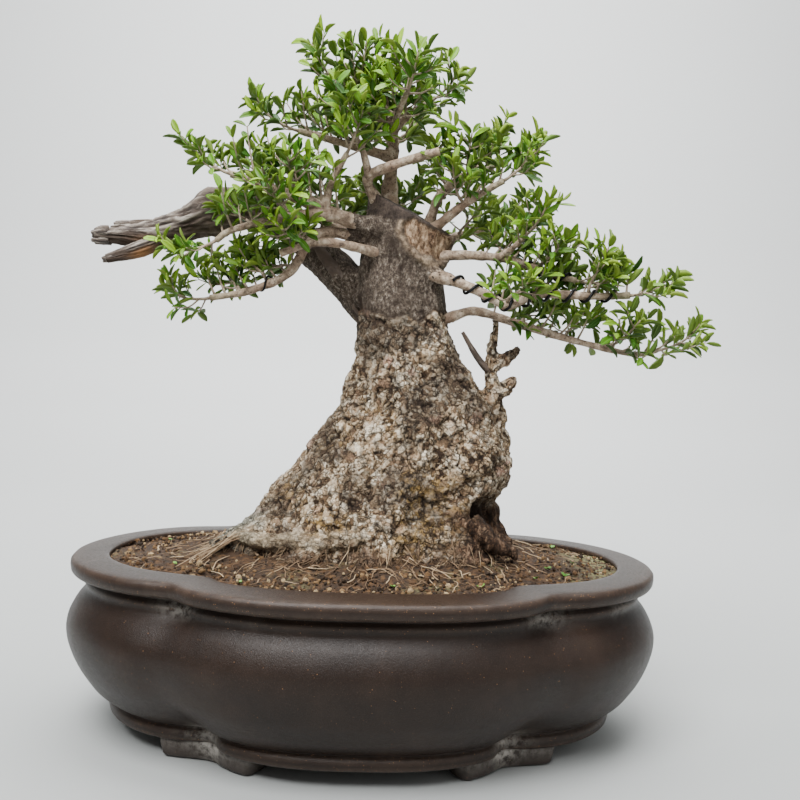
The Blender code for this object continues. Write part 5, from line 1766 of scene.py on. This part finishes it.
def make_rootlets():
    """Fine loose roots on the soil, most of them near the trunk."""
    draw = random.Random(41)
    heap = Heap()
    for i in range(LOOSE_ROOTS):
        path = loose_root(draw)
        if path:
            thick = draw.uniform(0.22, 0.62) * (1.7 if i % THICK_ROOT_EVERY == 0 else 1)
            add_root(heap, path, thick, draw.random())
    for points, shade in hanging_roots(draw):
        add_root(heap, smooth_path(points, 4), draw.uniform(0.22, 0.60), shade)
    paint = Paint("rootlets", 0.85)
    paint.colour(paint.colours(paint.number("shade"), *ROOT_TONES))
    paint.bump(paint.noise(700, 3), 0.2, 0.6)
    heap.finish("rootlets", [paint.material], "soil")


def make_seedlings():
    """Tiny green seedlings here and there on the soil."""
    draw = random.Random(63)
    heap = Heap()
    points, quads, *_ = LEAF_KINDS[2]
    for x, y in SEEDLING_PLACES:
        spot = np.array([[x, y, 0.0]])
        spot[0, 2] = soil_height(spot)[0] + 1.5
        turn = draw.uniform(0, math.pi)
        for i in range(draw.choice((2, 3, 4))):
            angle = turn + i * 1.9
            heading = Vector((math.cos(angle), math.sin(angle), draw.uniform(0.3, 0.9))).normalized()
            length = draw.uniform(2.6, 4.6)
            shaped = points * (length * 0.8, length, length) @ leaf_frame(heading, UP).T + spot
            heap.add(shaped, quads=quads, tint=draw.random())
    paint = Paint("seedling_green", 0.5)
    paint.colour(paint.colours(paint.number("tint"), (0.0, (0.06, 0.18, 0.015)), (1.0, (0.15, 0.32, 0.04))))
    paint.bump(paint.noise(900, 3), 0.1, 0.5)
    heap.finish("seedlings", [paint.material], "leaves")


# Stage

# The backdrop's section in metres: away from the viewer, height
BACKDROP_SECTION = ((-3.0, 0), (1.6, 0), (2.0, 0.04), (2.3, 0.18), (2.5, 0.45), (2.6, 0.9), (2.6, 4.0))
BACKDROP_HALF_WIDTH = 5.0
# Lamps in metres and watts: name, place, aim, size, power
LAMPS = (
    ("key", (-0.45, -1.05, 1.75), (0, 0, 0.3), 1.1, 84),
    ("fill", (1.6, -1.2, 1.2), (0, 0, 0.3), 1.6, 10),
    ("top", (0.2, 0.3, 2.2), (0, 0, 0.3), 1.6, 34),
    ("wall", (0, 0.6, 2.6), (0, 2.6, 0.9), 2.4, 130),
)
AMBIENT_COLOUR = (0.98, 0.965, 0.95, 1)
AMBIENT_STRENGTH = 0.30


def linked(name, data):
    """A new object in the scene."""
    thing = bpy.data.objects.new(name, data)
    bpy.context.scene.collection.objects.link(thing)
    return thing


def make_backdrop():
    """A floor that curves up behind the plant and grows paler away from the viewer: painted shade makes it
    darker grey at the plant and in front of it.
    """
    mesh = bpy.data.meshes.new("backdrop")
    points = [(x, y, z) for y, z in BACKDROP_SECTION for x in (-BACKDROP_HALF_WIDTH, BACKDROP_HALF_WIDTH)]
    rows = range(len(BACKDROP_SECTION) - 1)
    mesh.from_pydata(points, [], [(2 * i, 2 * i + 1, 2 * i + 3, 2 * i + 2) for i in rows])
    mesh.shade_smooth()
    floor = linked("backdrop", mesh)
    paint = Paint("backdrop_paper_painted_shade", 0.9)
    parts = paint.tree.nodes.new("ShaderNodeSeparateXYZ")
    paint.link(paint.place, parts.inputs[0])
    # Painted shade: the floor's colour darkens towards the viewer.
    paint.colour(paint.colours(paint.step(parts.outputs[1], 0.0, 2.4), (0.0, (0.36, 0.375, 0.37)),
                               (1.0, (0.79, 0.81, 0.81))))
    mesh.materials.append(paint.material)


def make_lights():
    """Soft studio lamps and a dim even light from all round."""
    world = bpy.data.worlds.new("studio")
    world.use_nodes = True
    world.node_tree.nodes["Background"].inputs["Color"].default_value = AMBIENT_COLOUR
    world.node_tree.nodes["Background"].inputs["Strength"].default_value = AMBIENT_STRENGTH
    bpy.context.scene.world = world
    for name, spot, aim, size, power in LAMPS:
        light = bpy.data.lights.new(name, "AREA")
        light.size = size
        light.energy = power
        lamp = linked(name, light)
        lamp.location = spot
        lamp.rotation_euler = (Vector(aim) - lamp.location).to_track_quat("-Z", "Y").to_euler()


def make_camera():
    """The camera, turned by its yaw, pitch and roll."""
    yaw, pitch, roll = (math.radians(value) for value in (CAMERA_YAW, CAMERA_PITCH, CAMERA_ROLL))
    ahead = Vector((math.sin(yaw) * math.cos(pitch), math.cos(yaw) * math.cos(pitch), math.sin(pitch)))
    level = Vector((math.cos(yaw), -math.sin(yaw), 0))
    upward = level.cross(ahead)
    right = level * math.cos(roll) + upward * math.sin(roll)
    up = upward * math.cos(roll) - level * math.sin(roll)
    turn = Matrix((right, up, -ahead)).transposed().to_4x4()
    turn.translation = Vector(place(CAMERA_PLACE))
    camera = linked("camera", bpy.data.cameras.new("camera"))
    camera.data.lens = LENS
    camera.data.sensor_width = SENSOR
    camera.matrix_world = turn
    bpy.context.scene.camera = camera


def make_stage():
    """The backdrop, the lights and the camera."""
    make_backdrop()
    make_lights()
    make_camera()


def make_screens():
    """The drain screens keep their shape and get their plastic."""
    finish = plain_paint("screen_plastic", (0.015, 0.015, 0.016), (0.03, 0.03, 0.03), 200, 0.55)
    for node in ("drain_screen_left", "drain_screen_right"):
        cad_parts[node].data.materials.clear()
        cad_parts[node].data.materials.append(finish)


make_stage()
make_pot()
make_soil()
make_trunk()
make_dead_wood()
make_branches()
make_wires()
make_sprays()
make_screens()
